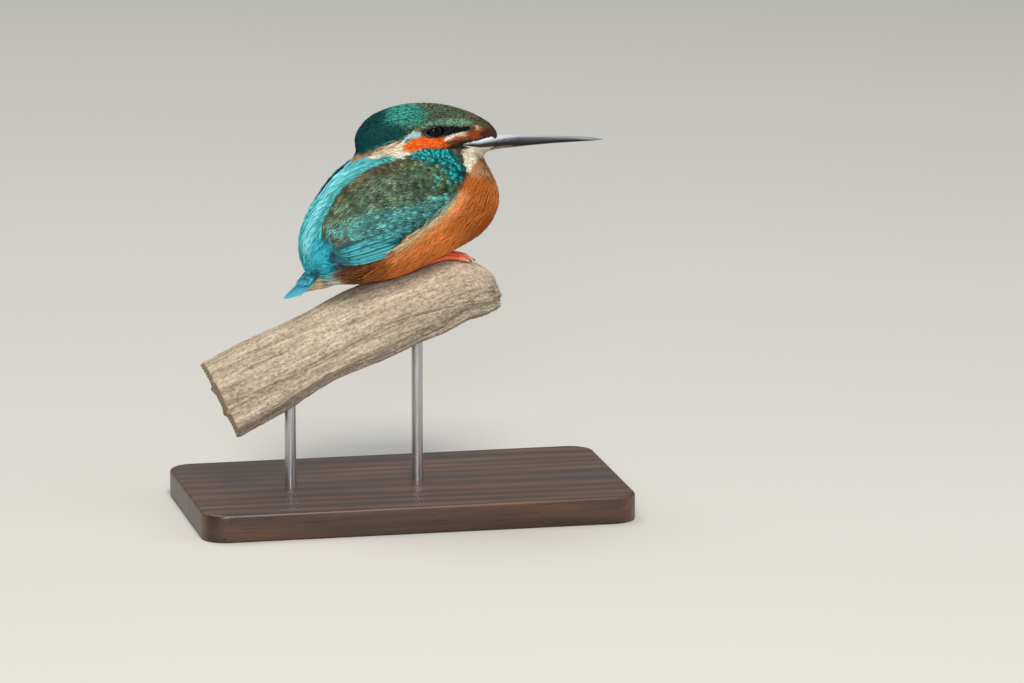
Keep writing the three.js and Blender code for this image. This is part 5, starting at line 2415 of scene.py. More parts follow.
# ---- head: eyes, lids and bill
@dataclass
class Eye:
    """A glossy dark eye with its ring of bare lid."""

    place: EyePlace
    skin: Surface
    cornea: float = 0.22
    lid_spread: float = 0.2
    lid_tint: Tint = Tint(7, 11, 11)
    rim_tint: Tint = Tint(14, 17, 16)

    @property
    def word(self) -> str:
        """Return the side's name."""
        return SIDES[self.place.side]

    def build(self) -> None:
        """Build the ball and the lids."""
        self.ball()
        self.lids()

    def ball(self) -> None:
        """Build the eyeball with its cornea."""
        work = bmesh.new()
        bmesh.ops.create_uvsphere(work, u_segments=72, v_segments=48, radius=self.place.radius * MM)
        gaze = Vector(self.place.axes[2])
        turn = Vector((0, 0, 1)).rotation_difference(gaze).to_matrix().to_4x4()
        bmesh.ops.transform(work, matrix=turn, verts=work.verts)
        layer = work.verts.layers.float.new("gaze")
        for vert in work.verts:
            angle = vert.co.angle(gaze)
            vert[layer] = min(1.0, angle / 1.2)
            vert.co += vert.co.normalized() * (self.cornea * MM * max(0.0, 1 - (angle / 0.95) ** 2))
        bmesh.ops.translate(work, vec=Vector(self.place.middle) * MM, verts=work.verts)
        node = (f"eye_{self.word}",)
        finish_piece(solid_mesh(work, "ball"), f"eyeball_{self.word}", Slot.EYE, EyeFinish().material(), node)

    def almond(self, turn: Array) -> tuple[Array, Array]:
        """Follow the edge of the eye's opening.

        Args:
            turn: Angles about the gaze.

        Returns:
            How far ahead and how far up the edge lies.
        """
        ahead = self.place.half_length * np.cos(turn)
        pinch = 1 - 0.28 * np.abs(np.cos(turn)) ** 3
        up = self.place.half_height * np.sign(np.sin(turn)) * np.abs(np.sin(turn)) ** 1.12 * pinch
        return ahead, up + 0.05 * ahead

    def lid_place(self, a: Array, b: Array) -> Array:
        """Lay out the lids.

        Args:
            a: Shares round the opening.
            b: Shares from the rim out to the face.

        Returns:
            Points (n, 3).
        """
        ahead_axis, up_axis, gaze = self.place.axes
        ahead, up = self.almond(a * 2 * np.pi)
        ball = self.place.radius + self.cornea * 0.4 + 0.06
        rim_depth = np.sqrt(np.maximum(ball**2 - (0.88 * ahead) ** 2 - up**2, 0.9))
        rim = self.place.middle + np.outer(ahead, ahead_axis) + np.outer(up, up_axis)
        rim = rim + np.outer(rim_depth, gaze)
        wide = 1 + self.lid_spread
        far = self.place.middle + np.outer(ahead * (wide - 0.12), ahead_axis)
        far = far + np.outer(up * (wide + 0.3), up_axis) + np.outer(np.full(len(a), 3.4), gaze)
        face, outward = self.skin.nearest(far)
        face = face - outward * 0.25
        share = smooth_step(0.0, 1.0, b)[:, None]
        crease = 0.05 * np.sin(b * 26) * np.sin(b * np.pi) + 0.03 * np.sin(a * 150) * np.sin(b * np.pi)
        raised = 0.2 * np.sin(np.pi * np.clip(b * 1.25, 0, 1)) * (1 - 0.4 * b) + crease
        roll = np.where(b < 0.08, -0.25 * (0.08 - b) / 0.08, 0.0)
        return rim + (face - rim) * share + np.outer(raised + roll, gaze)

    def lid_colour(self, a: Array, b: Array) -> Array:
        """Return the lids' colours: a paler rim, darker outwards."""
        share = smooth_step(0.02, 0.3, b)[:, None]
        return lerp(self.rim_tint.linear()[None], self.lid_tint.linear()[None], share) * np.ones((len(a), 1))

    def lids(self) -> None:
        """Build the ring of lids."""
        mesh = swept(96, 16, self.lid_place, {COAT_COLOUR: self.lid_colour})
        finish = HideFinish("lid_skin", 0.5, 0.0001, 3400)
        finish_piece(mesh, f"eyelids_{self.word}", Slot.CROWN, finish.material(), ())


@dataclass
class Bill:
    """The long dagger bill: two mandibles of polished horn that meet along the mouth."""

    # x, top, mouth, bottom and half width.
    stations: tuple[tuple[float, float, float, float, float], ...] = (
        (24, 134.3, 130.2, 127.6, 4.1),
        (30, 134.4, 130.3, 128.3, 3.7),
        (36, 134.0, 130.4, 129.0, 3.0),
        (45, 133.4, 130.5, 129.6, 2.3),
        (55, 132.9, 130.7, 130.2, 1.7),
        (64, 132.3, 130.8, 130.4, 1.1),
        (70, 131.8, 130.9, 130.5, 0.6),
        (73.8, 130.95, 130.9, 130.85, 0.03),
    )
    gap: float = 0.06
    # How far down its side the bill is silver, then dark, then brown: x, and shares of its height. The silver
    # is painted reflection on the black horn, and the dark is its black deepened by painted shade.
    bands: tuple[tuple[float, ...], ...] = (
        (24, 35.7, 39.3, 42.9, 48.3, 53.4, 59.2, 64.6, 69, 74),
        (0.48, 0.36, 0.24, 0.16, 0.15, 0.2, 0.32, 0.42, 0.68, 0.8),
        (0.62, 0.56, 0.46, 0.42, 0.42, 0.48, 0.55, 0.62, 0.85, 0.95),
        (0.86, 0.84, 0.82, 0.95, 1.2, 1.2, 1.2, 1.2, 1.2, 1.2),
    )
    # How bright the painted highlight on its ridge is: x, and a share.
    painted_light: tuple[tuple[float, ...], ...] = ((41, 44.7, 50.2, 55.6, 61, 74), (1, 0.88, 0.78, 0.62, 0.46, 0.46))
    nostril: Pair = (37.6, 132.5)
    # The ridge and side tints are painted reflection on the black horn; the dark tint is its black deepened
    # by painted shade.
    ridge_tint: Tint = Tint(166, 172, 177)
    side_tint: Tint = Tint(64, 68, 80)
    dark_tint: Tint = Tint(16, 11, 7)
    under_tint: Tint = Tint(66, 50, 30)
    base_tint: Tint = Tint(120, 104, 78)

    def sizes(self, b: Array) -> tuple[Array, ...]:
        """Size the bill.

        Args:
            b: Shares along it.

        Returns:
            Its x, top, mouth, bottom and half width.
        """
        table = np.array(self.stations)
        place = b * (len(table) - 1)
        knots = np.arange(len(table))
        x = np.interp(place, knots, table[:, 0])
        fine = np.linspace(table[0, 0], table[-1, 0], 160)
        window = np.hanning(9) / np.hanning(9).sum()
        made = [x]
        for column in range(1, 5):
            values = np.interp(fine, table[:, 0], table[:, column])
            padded = np.concatenate([np.full(4, values[0]), values, np.full(4, values[-1])])
            made.append(np.interp(x, fine, np.convolve(padded, window, "valid")))
        return tuple(made)

    def section(self, a: Array, b: Array, upper: bool) -> Array:
        """Lay out a mandible.

        Args:
            a: Shares round it from one edge of the mouth.
            b: Shares along it.
            upper: The upper mandible.

        Returns:
            Points (n, 3).
        """
        x, top, mouth, bottom, half = self.sizes(b)
        mouth = mouth + (self.gap if upper else -self.gap) / 2
        height = (top - mouth) if upper else (mouth - bottom)
        outer = a < 0.78
        turn = np.where(outer, lerp(-np.pi / 2, np.pi / 2, np.clip(a / 0.78, 0, 1)), 0)
        keel = lerp(0.05, 0.26, smooth_step(35, 46, x))
        ridge = (1 - keel) * np.cos(turn) + keel * np.cos(turn) ** 5
        inner = np.clip((a - 0.78) / 0.22, 0, 1)
        y = np.where(outer, np.sin(turn) * half, lerp(half, -half, inner) * 0.96)
        rise = np.where(outer, ridge * height, np.sin(np.pi * inner) * np.minimum(0.35, height * 0.25))
        z = mouth + rise * (1 if upper else -1)
        level = (z - mouth) / np.maximum(height, 0.2)
        groove = np.exp(-(((level - 0.42) / 0.09) ** 2)) * smooth_step(60, 42, x)
        sink = (0.34 * self.nostril_share(x, z) + 0.05 * groove) * upper * outer
        return np.stack([x, y - np.sign(y) * sink, z], axis=1)

    def nostril_share(self, x: Array, z: Array) -> Array:
        """Return 1 in the slit of the nostril, 0 outside it."""
        ahead, up = x - self.nostril[0], z - self.nostril[1] + 0.12 * (x - self.nostril[0])
        return np.exp(-(((ahead / 0.9) ** 2 + (up / 0.17) ** 2) ** 1.5))

    def colour(self, a: Array, b: Array, upper: bool) -> Array:
        """Colour a mandible: a silver ridge of painted reflection, a dark side deepened by painted shade and
        brown below.

        Args:
            a: Shares round it.
            b: Shares along it.
            upper: The upper mandible.

        Returns:
            Linear colours (n, 3).
        """
        x, top, _, bottom, _ = self.sizes(b)
        points = self.section(a, b, upper)
        z = points[:, 2]
        share = (top - z + 0.21 * np.abs(points[:, 1])) / np.maximum(top - bottom + 0.1, 0.3)
        silver, dark, under = (np.interp(x, self.bands[0], band) for band in self.bands[1:])
        low = lerp(self.base_tint.linear(), self.under_tint.linear(), smooth_step(36, 42, x)[:, None])
        # Painted highlight along the ridge, fading towards the tip, then painted reflection down the side.
        ridge = self.ridge_tint.linear() * np.interp(x, *self.painted_light)[:, None]
        colour = lerp(ridge, self.side_tint.linear(), smooth_step(-0.16, 0.14, share - silver)[:, None])
        colour = lerp(colour, self.dark_tint.linear(), smooth_step(-0.09, 0.07, share - dark)[:, None])
        colour = lerp(colour, low, smooth_step(-0.05, 0.07, share - under)[:, None])
        # Painted shade darkens the nostril's slit.
        return colour * (1 - 0.7 * self.nostril_share(x, z) * upper)[:, None]

    def build(self) -> None:
        """Build both mandibles."""
        for upper, name in ((True, "bill_upper"), (False, "bill_lower")):
            layers = {COAT_COLOUR: partial(self.colour, upper=upper)}
            mesh = swept(60, 180, partial(self.section, upper=upper), layers)
            finish_piece(mesh, f"{name}_mandible", Slot.BILL, HornFinish(f"{name}_horn").material(), (name,))


@dataclass
class Gape:
    """The bare corner of the mouth: a strip of the bill's horn that runs back below the lore."""

    side: int
    skin: Surface
    # On the markings' plan: across, its upper edge and its lower edge.
    line: tuple[Triple, ...] = (
        (462.0, 144.4, 145.4), (466.0, 142.8, 147.2), (472.0, 140.8, 148.8), (480.0, 139.6, 149.8),
        (488.0, 136.8, 149.8), (494.0, 135.2, 149.5), (498.0, 134.6, 149.3), (502.0, 134.6, 149.2),
    )
    rise: float = 0.22
    depth: float = 37.5
    # The silver down to this share is painted reflection on the horn, as on the bill.
    silver: float = 0.47
    dark: float = 0.77
    pale_tint: Tint = Tint(226, 220, 200)
    silver_tint: Tint = Tint(192, 197, 200)

    @staticmethod
    def inside(points: Array) -> Array:
        """Tell which places lie on the strip's horn, which feathers leave bare.

        Args:
            points: Places (n, 3) in mm.

        Returns:
            True for those places.
        """
        across, down = MarkingPlan().place(points)
        line = np.array(Gape.line)
        upper, lower = (np.interp(across, line[:, 0], line[:, i]) for i in (1, 2))
        return (across > line[0, 0]) & (down > upper + 0.3) & (down < lerp(upper, lower, 0.86))

    def place(self, a: Array, b: Array) -> Array:
        """Lay out the strip.

        Args:
            a: Shares from its upper to its lower edge.
            b: Shares forward along it.

        Returns:
            Points (n, 3).
        """
        line = np.array(self.line)
        across = lerp(line[0, 0], line[-1, 0], b)
        upper, lower = (np.interp(across, line[:, 0], line[:, i]) for i in (1, 2))
        starts, ahead = MarkingPlan().rays(across, lerp(upper, lower, a), self.side)
        near, outward = self.skin.nearest(starts + ahead * self.depth)
        arch = np.sqrt(np.clip(np.sin(np.pi * a), 0, None)) * 2.4 - 1.2 * smooth_step(0.86, 1.0, b) - 1
        for i, start in enumerate(starts.tolist()):
            place, normal, _, _ = self.skin.tree.ray_cast(start, ahead.tolist())
            if place is not None:
                near[i], outward[i] = place, normal
        made = near + outward * (self.rise * np.clip(arch, -1, 1))[:, None]
        table = np.array(Bill().stations).T
        top, bottom, half = (np.interp(made[:, 0], table[0], table[i]) for i in (1, 3, 4))
        round_off = np.clip((2 * made[:, 2] - top - bottom) / (top - bottom), -0.95, 0.95)
        aside = self.side * (half * np.sqrt(1 - round_off**2) + 0.04) - made[:, 1]
        return made + ahead * (aside / ahead[1] * smooth_step(0.74, 0.97, b))[:, None]

    def colour(self, a: Array, b: Array) -> Array:
        """Colour the strip with a silver painted reflection, then a dark line and a pale edge.

        Args:
            a: Shares from its upper to its lower edge.
            b: Shares forward along it.

        Returns:
            Linear colours (n, 3).
        """
        bill = Bill()
        colour = lerp(self.silver_tint.linear(), bill.side_tint.linear(), smooth_step(0.2, 0.5, a)[:, None])
        dark = smooth_step(self.silver - 0.06, self.silver + 0.05, a)[:, None]
        pale = smooth_step(self.dark - 0.04, self.dark + 0.06, a)[:, None]
        return lerp(lerp(colour, bill.dark_tint.linear(), dark), self.pale_tint.linear(), pale)

    def build(self) -> None:
        """Build the strip."""
        word = SIDES[self.side]
        mesh = swept(14, 60, self.place, {COAT_COLOUR: self.colour})
        finish_piece(mesh, f"gape_{word}", Slot.BILL, HornFinish("gape_horn").material(), ())


# ---- branch, feet and stand
def wood_relief(t: Array, angle: Array) -> Array:
    """Raise the branch's grain and shallow knots.

    Args:
        t: Places along it, 0 to 1.
        angle: Angles round it.

    Returns:
        Heights in mm.
    """
    grain = 0.45 * np.sin(5 * angle + 3 * t) + 0.25 * np.sin(11 * angle - 4 * t)
    knots = 0.35 * np.sin(17 * t + 2 * angle) * np.sin(7 * t)
    fade = np.minimum(1, (1 - t) / 0.08)
    broken = 0.7 * np.sin(3 * angle + 1) * np.sin(40 * t) * np.maximum(0, (t - 0.8) / 0.2)
    return (grain + knots + broken) * (1 - 0.8 * cradle(angle)) * fade


def cradle(angle: Array) -> Array:
    """Return 1 along the branch's top, where the bird rests, falling off round it."""
    return np.exp(-((np.arctan2(np.sin(angle), np.cos(angle)) / 0.7) ** 2))


BRANCH = Loft(
    [
        [-71, 55.6, -58.5, 28.5, 14.6],
        [-54.5, 63.4, -42.5, 37, 14],
        [-36, 71.2, -24.5, 47.2, 13.3],
        [-18, 80, -6, 54.6, 13],
        [-2, 84.4, 5.5, 59.6, 12.8],
        [9, 87.8, 15.2, 63.6, 12.6],
        [17.5, 90.1, 23.5, 67.6, 12],
        [24.6, 89, 29.8, 69, 10.6],
        [31.2, 85.4, 34, 71.4, 7.6],
        [35.8, 75.5, 35.8, 75.5, 0],
    ],
    wood_relief,
)


@dataclass(frozen=True)
class Fissure:
    """A long crack in the branch: where it starts and ends along it, its angle, sway, width and depth."""

    start: float
    end: float
    angle: float
    sway: float
    width: float
    depth: float


@dataclass
class Branch:
    """The weathered branch, with fissures, a sawn end and a splintered broken end."""

    columns: int = 250
    rows: int = 340
    cap: float = 0.045
    length: float = 118.0
    girth: float = 84.0
    axis: Triple = (0.93, 0.0, 0.36)
    seed: int = 17
    splinters: int = 900
    rays: tuple[float, ...] = (0.4, 1.5, 2.2, 3.4, 4.6, 5.5)
    fissures: tuple[Fissure, ...] = (
        Fissure(0.02, 0.5, -1.05, 0.1, 0.016, 0.7),
        Fissure(0.2, 0.78, -1.72, 0.16, 0.018, 0.6),
        Fissure(0.0, 0.34, -0.55, 0.08, 0.012, 0.5),
        Fissure(0.48, 0.93, -1.28, 0.14, 0.012, 0.4),
        Fissure(0.1, 0.62, -2.3, 0.1, 0.02, 0.8),
        Fissure(0.0, 0.55, 0.9, 0.12, 0.018, 0.7),
        Fissure(0.3, 0.88, 1.55, 0.14, 0.016, 0.6),
        Fissure(0.05, 0.5, 2.4, 0.12, 0.02, 0.8),
        Fissure(0.55, 0.95, 2.0, 0.1, 0.014, 0.5),
    )

    def shares(self, a: Array, b: Array) -> tuple[Array, Array, Array]:
        """Return t along, the angle round and how far out from the axis, for shares of the grid."""
        t = np.clip((b - self.cap) / (1 - self.cap), 0, 1)
        return t, a * 2 * np.pi, np.clip(b / self.cap, 0, 1)

    def fine_relief(self, t: Array, angle: Array) -> Array:
        """Work out the small relief of weathered wood.

        Args:
            t: Places along it, 0 to 1.
            angle: Angles round it.

        Returns:
            Heights in mm.
        """
        ring = np.stack([np.cos(angle), np.sin(angle)], axis=1) * self.girth / (2 * np.pi)
        place = np.column_stack([ring, t * self.length])
        sway = value_noise(place / np.array([9, 9, 22]), 3)[:, None] * np.array([1.2, 1.2, 0])
        long = layered_noise((place + sway) / np.array([1.7, 1.7, 24]), 4, 11)
        coarse = layered_noise((place + sway) / np.array([4.5, 4.5, 34]), 3, 12)
        pits = layered_noise(place / 1.1, 3, 13)
        end = smooth_step(0.78, 0.97, t)
        relief = 0.3 * (1 - 2 * np.abs(long)) - 0.15 + 0.4 * coarse + (0.24 + 0.5 * end) * pits
        for fissure in self.fissures:
            wander = fissure.sway * np.sin(3.1 * t * np.pi + fissure.angle * 5)
            line = np.column_stack([t * 26, t * 0 + fissure.angle * 9, t * 0])
            wander = wander + 0.05 * layered_noise(line, 3, 7)
            off = np.arctan2(np.sin(angle - fissure.angle - wander), np.cos(angle - fissure.angle - wander))
            span = smooth_step(fissure.start - 0.01, fissure.start + 0.07, t)
            span = span * smooth_step(fissure.end + 0.01, fissure.end - 0.1, t)
            line = np.column_stack([t * 14, t * 0 + fissure.angle, t * 0])
            open_share = 0.35 + 0.65 * smooth_step(-0.4, 0.5, value_noise(line, 9))
            width = fissure.width * (0.5 + 0.5 * span) * (0.6 + 0.6 * open_share)
            relief = relief - fissure.depth * span * open_share * np.exp(-((off / width) ** 2))
        rest = cradle(angle + 0.1) * smooth_step(0.3, 0.45, t) * smooth_step(0.92, 0.8, t)
        return relief * (1 - 0.72 * rest)

    def place(self, a: Array, b: Array) -> Array:
        """Lay out the branch.

        Args:
            a: Shares round it.
            b: Shares along it.

        Returns:
            Points (n, 3).
        """
        t, angle, out = self.shares(a, b)
        fade = np.minimum(1, (1 - t) / 0.05)
        relief = self.fine_relief(t, angle)
        points = BRANCH.point(t, angle, relief * fade)
        middle = (BRANCH.bare(t, angle * 0) + BRANCH.bare(t, angle * 0 + np.pi)) / 2
        points = middle + (points - middle) * out[:, None]
        fibres = layered_noise(points / np.array([6, 1.1, 1.1]), 3, 29)
        torn = smooth_step(0.86, 0.99, t) * (1.5 * fibres + 0.2)
        turned = (np.angle(np.exp(1j * (angle - at))) for at in self.rays)
        rays = sum(np.exp(-((off * np.maximum(out, 0.05) / 0.05) ** 2)) for off in turned)
        cracks = layered_noise(points / np.array([9, 0.9, 0.9]), 2, 31)
        checks = (0.25 * np.abs(cracks) + 0.9 * rays * out) * (out < 1)
        return points + unit(np.array([self.axis])) * (torn - checks)[:, None]

    def relief_kept(self, a: Array, b: Array) -> Array:
        """Return the small relief at shares of the grid."""
        t, angle, out = self.shares(a, b)
        return self.fine_relief(t, angle) * (out >= 1)

    def sawn(self, a: Array, b: Array) -> Array:
        """Return 1 on the sawn end."""
        return (self.shares(a, b)[2] < 0.985).astype(float)

    def ring(self, a: Array, b: Array) -> Array:
        """Return the growth rings' count out from the pith, as the wave pattern reads it."""
        _, angle, out = self.shares(a, b)
        return out**0.85 * 4.3 + (0.22 * np.sin(3 * angle + 1) + 0.1 * np.sin(5 * angle)) * out

    def build(self) -> None:
        """Build the branch and its splinters."""
        layers = {"relief": self.relief_kept, "sawn": self.sawn, "ring": self.ring}
        mesh = swept(self.columns, self.rows, self.place, layers)
        wood = DriftwoodFinish().material()
        finish_piece(mesh, "driftwood_branch", Slot.DRIFTWOOD, wood, ("perch_branch",))
        self.torn_end()

    def torn_end(self) -> None:
        """Build the fibres that stand out of the broken end."""
        rng = np.random.default_rng(self.seed)
        count = self.splinters
        t = 1 - 0.17 * rng.random(count) ** 1.3
        angle = rng.uniform(-np.pi, np.pi, count)
        keep = ~((np.abs(np.arctan2(np.sin(angle), np.cos(angle))) < 0.8) & (t < 0.93))
        t, angle = t[keep], angle[keep]
        count = len(t)
        root = BRANCH.point(t, angle, -0.5)
        outward = BRANCH.normal(t, angle) * rng.uniform(0.1, 0.9, count)[:, None]
        lie = unit(unit(np.array([self.axis])) * 1.2 + outward + rng.normal(0, 0.2, (count, 3)))
        length = rng.uniform(0.5, 1.9, count)
        sideways = unit(np.cross(lie, rng.normal(0, 1, (count, 3))))
        outward = np.cross(sideways, lie)
        foot = [(-0.5, 0, -0.4), (0.5, 0, -0.4), (0, 0, 0.6)]
        waist = [(-0.32, 0.6, -0.2), (0.32, 0.6, -0.2), (0, 0.6, 0.4)]
        pattern = np.array([*foot, *waist, (0.1, 1, 0.1)])
        sides = [(0, 1, 4), (0, 4, 3), (1, 2, 5), (1, 5, 4), (2, 0, 3), (2, 3, 5)]
        faces = np.array([*sides, (3, 4, 6), (4, 5, 6), (5, 3, 6), (0, 2, 1)])
        thick = rng.uniform(0.12, 0.36, count)
        made = root[:, None] + sideways[:, None] * (pattern[:, 0] * thick[:, None])[:, :, None]
        made = made + lie[:, None] * (pattern[:, 1] * length[:, None])[:, :, None]
        made = made + outward[:, None] * (pattern[:, 2] * thick[:, None])[:, :, None]
        corners = (faces[None] + np.arange(count)[:, None, None] * len(pattern)).reshape(-1, 3)
        places = made.reshape(-1, 3)
        mesh = triangle_mesh("splinters", places, corners, np.full((len(places), 3), 0.4))
        relief = mesh.attributes.new("relief", "FLOAT", "POINT")
        depth = rng.uniform(-0.1, 0.4, count).repeat(len(pattern))
        relief.data.foreach_set("value", depth.astype(np.float32))
        finish_piece(mesh, "branch_splinters", Slot.DRIFTWOOD, DriftwoodFinish().material(), ())


@dataclass
class Foot:
    """A foot of four scaly toes with claws, laid over the branch, and the leg's short visible part."""

    side: int
    radius: float = 0.98
    stance: float = -0.1
    gap: float = 0.3
    ankle: Pair = (0.59, 0.3)
    # Toe tips along and round the branch, and their thickness as a share.
    toes: tuple[Triple, ...] = (
        (0.765, 0.46, 0.95), (0.795, 0.28, 1.08), (0.76, 0.12, 0.95), (0.53, 0.28, 0.95),
    )
    tint: Tint = Tint(234, 100, 50)
    tip_tint: Tint = Tint(236, 156, 132)
    claw_tint: Tint = Tint(140, 96, 74)
    point_tint: Tint = Tint(48, 36, 30)

    def over(self, t: Array, angle: Array, height: Array | float) -> Array:
        """Return places over the branch, for this side's foot."""
        return BRANCH.point(t, self.side * angle - self.stance, height + self.gap)

    def centre(self, k: Array, toe: Triple) -> tuple[Array, Array]:
        """Follow a toe's middle line.

        Args:
            k: Shares from the ankle (0) to the tip (1).
            toe: The toe's tip and thickness.

        Returns:
            Places (n, 3) and the toe's radius there.
        """
        t = lerp(self.ankle[0], toe[0], k)
        angle = lerp(self.ankle[1], toe[1], np.minimum(1, k * 1.4))
        pads = 1 + 0.1 * np.cos(k * 18)
        radius = self.radius * toe[2] * (1 - 0.34 * smooth_step(0.72, 1.0, k)) * pads
        return self.over(t, angle, 0.05 + radius * 0.96), radius

    def toe_place(self, toe: Triple, a: Array, b: Array) -> Array:
        """Lay out a toe.

        Args:
            toe: The toe's tip and thickness.
            a: Shares round it.
            b: Shares along it.

        Returns:
            Points (n, 3).
        """
        middle, radius = self.centre(b, toe)
        ahead = unit(self.centre(np.minimum(b + 0.02, 1.02), toe)[0] - self.centre(b - 0.02, toe)[0])
        up = unit(np.array([[0, 0, 1.0]]) - ahead * ahead[:, 2:])
        turn = a * 2 * np.pi
        scutes = 0.07 * np.abs(np.sin(b * 34)) ** 0.6 * np.clip(np.sin(turn), 0, 1)
        grain = 0.05 * value_noise(middle * 3 + np.stack([turn * 2, turn, b], axis=1), 8)
        radius = radius * rounded(b, 0.04) * (1 + scutes - 0.06 + grain)
        return ringed(middle, np.cross(up, ahead), up, a, radius, 0.95)

    def claw_place(self, toe: Triple, a: Array, b: Array) -> Array:
        """Lay out a claw.

        Args:
            toe: The toe's tip and thickness.
            a: Shares round it.
            b: Shares along it.

        Returns:
            Points (n, 3).
        """
        sign = math.copysign(1.0, toe[0] - self.ankle[0])
        t = toe[0] + sign * (0.026 * b - 0.012)
        flat = np.full(len(b), toe[1])
        height = 0.9 * np.sqrt(np.clip(1 - b**1.8, 0, 1)) + 0.1
        middle = self.over(t, flat, height)
        ahead = unit(self.over(t + sign * 0.004, flat, height) - middle)
        up = unit(np.array([[0, 0, 1.0]]) - ahead * ahead[:, 2:])
        return ringed(middle, np.cross(up, ahead), up, a, 0.42 * (1 - b) ** 0.7 * (b > 0), 1.2)

    def shank_place(self, a: Array, b: Array) -> Array:
        """Lay out the leg from ankle to knee.

        Args:
            a: Shares round it.
            b: Shares up it.

        Returns:
            Points (n, 3).
        """
        one = np.ones(len(a))
        foot = self.over(one * self.ankle[0], one * self.ankle[1], self.radius * 1.1)
        knee = foot + np.array([-5.0, self.side * 1.4, 7.0])
        ahead = unit(knee - foot)
        side = unit(np.cross(ahead, np.array([[0, 1.0, 0]])))
        radius = (1.15 + 0.25 * np.exp(-((b / 0.15) ** 2))) * (1 + 0.05 * np.abs(np.sin(b * 20)))
        middle = foot - ahead * 0.6 + (knee - foot) * b[:, None]
        return ringed(middle, side, np.cross(ahead, side), a, radius * rounded(b, 0.06))

    def toe_colour(self, a: Array, b: Array) -> Array:
        """Colour a toe orange-red, paler and pinker to its tip, with painted shade on its underside.

        Args:
            a: Shares round it.
            b: Shares along it.

        Returns:
            Linear colours (n, 3).
        """
        share = smooth_step(0.55, 0.98, b)[:, None]
        # Painted shade on the underside.
        below = smooth_step(-0.1, -0.9, np.sin(a * 2 * np.pi))[:, None]
        joints = 0.85 + 0.15 * np.abs(np.sin(b * 34))[:, None]
        return lerp(self.tint.linear(), self.tip_tint.linear(), share) * (1 - 0.45 * below) * joints

    def build(self) -> None:
        """Build the toes, claws and shank."""
        word = SIDES[self.side]
        hide = HideFinish("toe_skin", 0.42, 0.00012, 2300, 0.12).material()
        horn = HideFinish("claw_horn", 0.35, 0.00005, 1500).material()
        node = (f"leg_{word}",)
        for name, toe in zip(("outer", "middle", "inner", "hind"), self.toes):
            mesh = swept(22, 70, partial(self.toe_place, toe), {COAT_COLOUR: self.toe_colour})
            finish_piece(mesh, f"toe_{name}_{word}", Slot.LEG, hide, node)
            mesh = swept(14, 16, partial(self.claw_place, toe), {COAT_COLOUR: self.claw_colour})
            finish_piece(mesh, f"claw_{name}_{word}", Slot.LEG, horn, node)
        mesh = swept(24, 40, self.shank_place, {COAT_COLOUR: self.toe_colour})
        finish_piece(mesh, f"shank_{word}", Slot.LEG, hide, node)

    def claw_colour(self, a: Array, b: Array) -> Array:
        """Return a claw's colours, dark towards its point."""
        return lerp(self.claw_tint.linear(), self.point_tint.linear(), smooth_step(0.0, 0.6, b)[:, None])


@dataclass
class Stand:
    """A plain walnut plinth with two steel rods that hold the branch."""

    length: float = 156.0
    width: float = 84.0
    height: float = 10.0
    corner: float = 9.0
    bevel: float = 1.2
    rod_radius: float = 2.0
    rods: Pair = (-40.0, 6.0)

    def plinth(self) -> Mesh:
        """Shape the plinth.

        Returns:
            Its mesh.
        """
        work = bmesh.new()
        bmesh.ops.create_cube(work, size=1.0)
        sizes = Vector((self.length, self.width, self.height)) * MM
        bmesh.ops.scale(work, vec=sizes, verts=work.verts)
        bmesh.ops.translate(work, vec=(0, 0, self.height * MM / 2), verts=work.verts)
        upright = [e for e in work.edges if abs(e.verts[0].co.z - e.verts[1].co.z) > self.height * MM / 2]
        style = {"offset_type": "OFFSET", "profile": 0.5, "affect": "EDGES", "material": -1}
        bmesh.ops.bevel(work, geom=upright, offset=self.corner * MM, segments=14, **style)
        flat = [f for f in work.faces if abs(f.normal.z) > 0.9]
        rims = list({edge for face in flat for edge in face.edges})
        bmesh.ops.bevel(work, geom=rims, offset=self.bevel * MM, segments=5, **style)
        flat = [f for f in work.faces if abs(f.normal.z) > 0.999]
        bmesh.ops.inset_individual(work, faces=flat, thickness=0.3 * MM)
        bmesh.ops.recalc_face_normals(work, faces=work.faces)
        return solid_mesh(work, "plinth")

    def rod_place(self, x: float, top: float, a: Array, b: Array) -> Array:
        """Lay out a rod.

        Args:
            x: Where along the plinth it stands.
            top: How high it reaches.
            a: Shares round it.
            b: Shares up it.

        Returns:
            Points (n, 3).
        """
        out = self.rod_radius * np.clip(np.minimum(b, 1 - b) / 0.01, 0, 1) ** 0.5
        turn = a * 2 * np.pi
        return np.stack([x + np.cos(turn) * out, np.sin(turn) * out, lerp(self.height - 3.6, top, b)], axis=1)

    def build(self) -> None:
        """Build the plinth and the rods."""
        finish_piece(self.plinth(), "plinth", Slot.STAND_WOOD, StandWoodFinish().material(), ("stand_base",))
        steel = SteelFinish().material()
        under = BRANCH.point(np.linspace(0.02, 0.98, 200), np.full(200, np.pi))
        for number, x in enumerate(self.rods, 1):
            top = float(np.interp(x, under[:, 0], under[:, 2])) + 6.0
            mesh = swept(48, 100, partial(self.rod_place, x, top))
            finish_piece(mesh, f"rod_{number}", Slot.STEEL, steel, (f"stand_rod_{number}",))


# ---- studio
@dataclass(frozen=True)
class SoftBox:
    """A square soft light that looks at the bird."""

    name: str
    place: Triple
    size: float
    power: float
    tint: Tint = Tint(255, 255, 255)

    def build(self, target: Vector) -> None:
        """Hang the light.

        Args:
            target: Where it shines, in m.
        """
        light = bpy.data.lights.new(self.name, "AREA")
        light.shape, light.size, light.energy = "SQUARE", self.size, self.power
        light.color = self.tint.linear().tolist()
        holder = bpy.data.objects.new(self.name, light)
        holder.location = self.place
        holder.rotation_euler = (target - Vector(self.place)).to_track_quat("-Z", "Y").to_euler()
        bpy.context.scene.collection.objects.link(holder)


